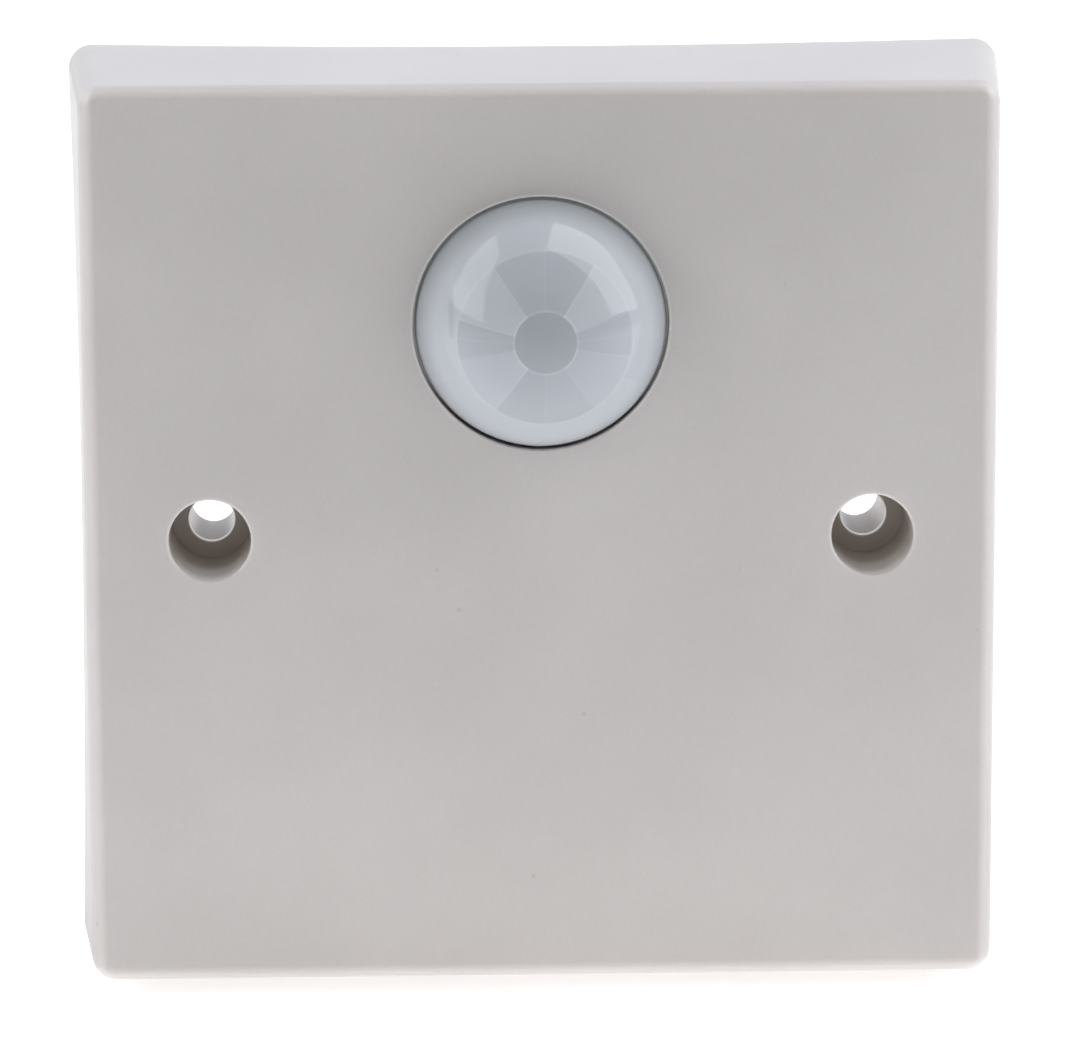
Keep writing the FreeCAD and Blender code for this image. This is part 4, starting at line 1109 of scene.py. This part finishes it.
@dataclass
class MainsBoard:
    """The rear board with the relay and the power parts."""

    def dress(self) -> None:
        """Dress the board and what stands on it."""
        cover_nodes({
            "mains_board": Laminate("mains_laminate", track_pitch=3.6),
            "relay": Case("relay_case", (0.020, 0.020, 0.022), 0.4),
            "film_capacitor": Case("film_case", (0.62, 0.40, 0.035), 0.45),
            "bridge_rectifier": Case("rectifier_case", (0.018, 0.018, 0.019)),
            "reservoir_capacitor": Banded(
                "can_sleeve", colour=(0.010, 0.013, 0.045), band=(0.68, 0.68, 0.70),
                axis=Axis.DEPTH, low=9.0, high=9.6, metal=1.0, roughness=0.3),
            "mains_fuse": Case("fuse_case", (0.055, 0.022, 0.012), 0.45),
            "surge_absorber": Case("absorber_coat", (0.015, 0.070, 0.330), 0.3, coat=0.4),
            "voltage_regulator": Case("regulator_case", (0.016, 0.016, 0.017)),
            "relay_diode": Banded(
                "diode_case", colour=(0.014, 0.014, 0.015), band=(0.62, 0.62, 0.60),
                axis=Axis.ACROSS, low=4.2, high=4.9, roughness=0.35),
            "mains_board_screws": Plated("mains_screw_zinc", ZINC),
        })


@dataclass
class AdjusterSet:
    """The two adjusters: their bases and their slotted spindles."""

    names: tuple[str, ...] = ("time", "lux")

    def dress(self) -> None:
        """Dress both bases and both spindles."""
        for name in self.names:
            cover_nodes({
                f"{name}_trimmer": Case(f"{name}_trimmer_case", (0.022, 0.070, 0.280), 0.42),
                f"{name}_adjuster": Moulding(f"{name}_spindle", (0.70, 0.68, 0.60), 0.38),
            })


@dataclass
class TerminalSet:
    """The terminal block with its screws, clamps and contacts."""

    ways: tuple[str, ...] = ("live", "neutral", "load")

    def dress(self) -> None:
        """Dress the block and each way's own pieces."""
        cover_nodes({
            "terminal_block": Moulding("terminal_plastic", (0.030, 0.150, 0.070)),
            "terminal_contacts": Plated("contact_tin", (0.70, 0.66, 0.52)),
        })
        for way in self.ways:
            cover_nodes({
                f"{way}_screw": Plated(f"{way}_screw_zinc", (0.62, 0.62, 0.61), 0.28),
                f"{way}_clamp": Plated(f"{way}_clamp_tin", (0.66, 0.60, 0.44), 0.32),
            })


@dataclass
class RearCover:
    """The cover and tray behind the plate, with its screws."""

    colour: Colour = (0.53, 0.515, 0.495)

    def dress(self) -> None:
        """Dress the cover and its screws."""
        cover_nodes({
            "rear_cover": Moulding("cover_moulding", self.colour, 0.46),
            "cover_screws": Plated("cover_screw_zinc", ZINC),
        })


def lay_panel(name: str, corners: tuple[Point, ...],
              material: bpy.types.Material) -> bpy.types.Object:
    """Add a flat piece of the studio.

    Args:
        name: its name.
        corners: its four corners in order, in metres.
        material: its material.

    Returns:
        The piece.
    """
    data = bpy.data.meshes.new(name)
    data.from_pydata(corners, [], [tuple(range(len(corners)))])
    data.materials.append(material)
    piece = bpy.data.objects.new(name, data)
    bpy.context.scene.collection.objects.link(piece)
    return piece


@dataclass(frozen=True)
class SoftBox:
    """A large rectangular lamp, placed by its centre and the directions of its sides."""

    name: str
    centre: Point
    long_side: Point
    short_side: Point
    radiance: float
    colour: Colour

    def build(self) -> None:
        """Hang the lamp so that it shines along its normal towards the part."""
        length = Vector(self.long_side)
        width = Vector(self.short_side)
        normal = length.cross(width).normalized()
        if normal.dot(Vector(self.centre)) < 0:
            normal.negate()
        along = length.normalized()
        data = bpy.data.lights.new(self.name, "AREA")
        data.shape = "RECTANGLE"
        data.size = length.length
        data.size_y = width.length
        data.energy = self.radiance * math.pi * length.length * width.length
        data.color = self.colour
        lamp = bpy.data.objects.new(self.name, data)
        turn = Matrix((along, normal.cross(along), normal)).transposed().to_4x4()
        lamp.matrix_world = Matrix.Translation(Vector(self.centre)) @ turn
        bpy.context.scene.collection.objects.link(lamp)


@dataclass(frozen=True)
class GlowPanel:
    """A panel of light with four free corners, which the camera itself doesn't see."""

    name: str
    corners: tuple[Point, Point, Point, Point]
    radiance: float
    colour: Colour

    def build(self) -> None:
        """Hang the panel and hide it from the camera."""
        glow = Shader(self.name).finish({"Color": self.colour, "Strength": self.radiance},
                                        kind="ShaderNodeEmission")
        lay_panel(self.name, self.corners, glow).visible_camera = False


@dataclass
class Studio:
    """The floor, the lights, the pale surroundings and the camera."""

    focal_pixels: float = 6037.356
    picture_width: float = 1080.0
    sensor: float = 36.0
    pitch: float = 11.728
    yaw: float = 1.881
    roll: float = -0.169
    camera_at: Point = (-17.785, -555.988, 113.110)
    floor_gap: float = 0.05
    floor_reach: float = 6.0
    before_part: Fade = (-190.0, -45.0)
    beyond_part: Fade = (20.0, 400.0)
    floor_glows: tuple[Colour, ...] = ((0.02, 0.02, 0.02), (0.50, 0.50, 0.50), (0.95, 0.95, 0.95))
    room_colour: Colour = (0.97, 0.985, 1.0)
    room_strength: float = 0.27
    lights: tuple[SoftBox | GlowPanel, ...] = (
        SoftBox("right_box", centre=(0.4335, -0.044, 0.442), long_side=(0.679, -0.134, -0.685),
                short_side=(-0.013, -0.475, -0.0065), radiance=2.7, colour=(0.96, 0.98, 1.0)),
        GlowPanel("left_panel", corners=((-0.270, 0.419, 0.622), (-0.328, -0.124, 0.557),
                                         (-0.749, -0.556, 0.078), (-0.691, -0.013, 0.143)),
                  radiance=2.7, colour=(0.96, 0.98, 1.0)),
        GlowPanel("sky_panel", corners=((-1.2, 0.15, 1.0), (1.2, 0.15, 1.0),
                                        (1.2, 1.6, 0.7), (-1.2, 1.6, 0.7)),
                  radiance=0.68, colour=(0.62, 0.72, 1.0)),
        GlowPanel("backdrop", corners=((-0.9, 0.9, 0.0), (0.9, 0.9, 0.0),
                                       (0.9, 1.1, 0.8), (-0.9, 1.1, 0.8)),
                  radiance=1.1, colour=(0.88, 0.92, 1.0)),
    )

    def camera(self) -> None:
        """Put the camera where the photograph was taken from."""
        pitch, yaw, roll = (math.radians(angle) for angle in (self.pitch, self.yaw, self.roll))
        rows = (Matrix.Rotation(roll, 3, "Y") @ Matrix.Rotation(pitch, 3, "X")
                @ Matrix.Rotation(yaw, 3, "Z"))
        axes = Matrix((rows[0], rows[2], -rows[1])).transposed()
        data = bpy.data.cameras.new("photo_camera")
        data.sensor_fit = "HORIZONTAL"
        data.sensor_width = self.sensor
        data.lens = self.sensor * self.focal_pixels / self.picture_width
        data.clip_start = 0.02
        data.clip_end = 20.0
        camera = bpy.data.objects.new("photo_camera", data)
        camera.matrix_world = Matrix.Translation(Vector(self.camera_at) * MM) @ axes.to_4x4()
        bpy.context.scene.collection.objects.link(camera)
        bpy.context.scene.camera = camera

    def floor(self) -> None:
        """Lay a floor of white paper just under the plate, lit more towards the backdrop."""
        level = CAD_BOX[0][2] - self.floor_gap * MM
        corners = tuple((across * self.floor_reach, depth * self.floor_reach, level)
                        for across, depth in ((-1, -1), (1, -1), (1, 1), (-1, 1)))
        shader = Shader("floor_paper")
        fibres = shader.noise(size=1.5, detail=3.0)
        depth = shader.spot()[Axis.DEPTH.value]
        glow = shader.mix(shader.fade(depth, *self.before_part), *self.floor_glows[:2])
        lay_panel("floor", corners, shader.finish({
            "Base Color": shader.mix(fibres, (0.88, 0.88, 0.885), (0.93, 0.93, 0.935)),
            "Roughness": 0.9,
            "Specular IOR Level": 0.1,
            "Emission Color": shader.mix(shader.fade(depth, *self.beyond_part), glow,
                                         self.floor_glows[2]),
            "Emission Strength": 1.0,
        }))

    def surroundings(self) -> None:
        """Fill the room with pale light."""
        world = bpy.data.worlds.new("studio")
        world.use_nodes = True
        background = world.node_tree.nodes["Background"]
        background.inputs["Color"].default_value = (*self.room_colour, 1.0)
        background.inputs["Strength"].default_value = self.room_strength
        bpy.context.scene.world = world

    def build(self) -> None:
        """Set up the whole studio and the view's plain tone curve."""
        self.camera()
        self.floor()
        self.surroundings()
        for light in self.lights:
            light.build()
        bpy.context.scene.view_settings.view_transform = "Standard"
        bpy.context.scene.view_settings.look = "None"


def main() -> None:
    """Build the sub-assemblies from the room side to the wall box, then the studio."""
    for assembly in (LensAssembly(), FrontPlate(), SensorBoard(), MainsBoard(), AdjusterSet(),
                     TerminalSet(), RearCover()):
        assembly.dress()
        LOG.info("dressed %s", type(assembly).__name__)
    Studio().build()


if __name__ == "__main__":
    main()
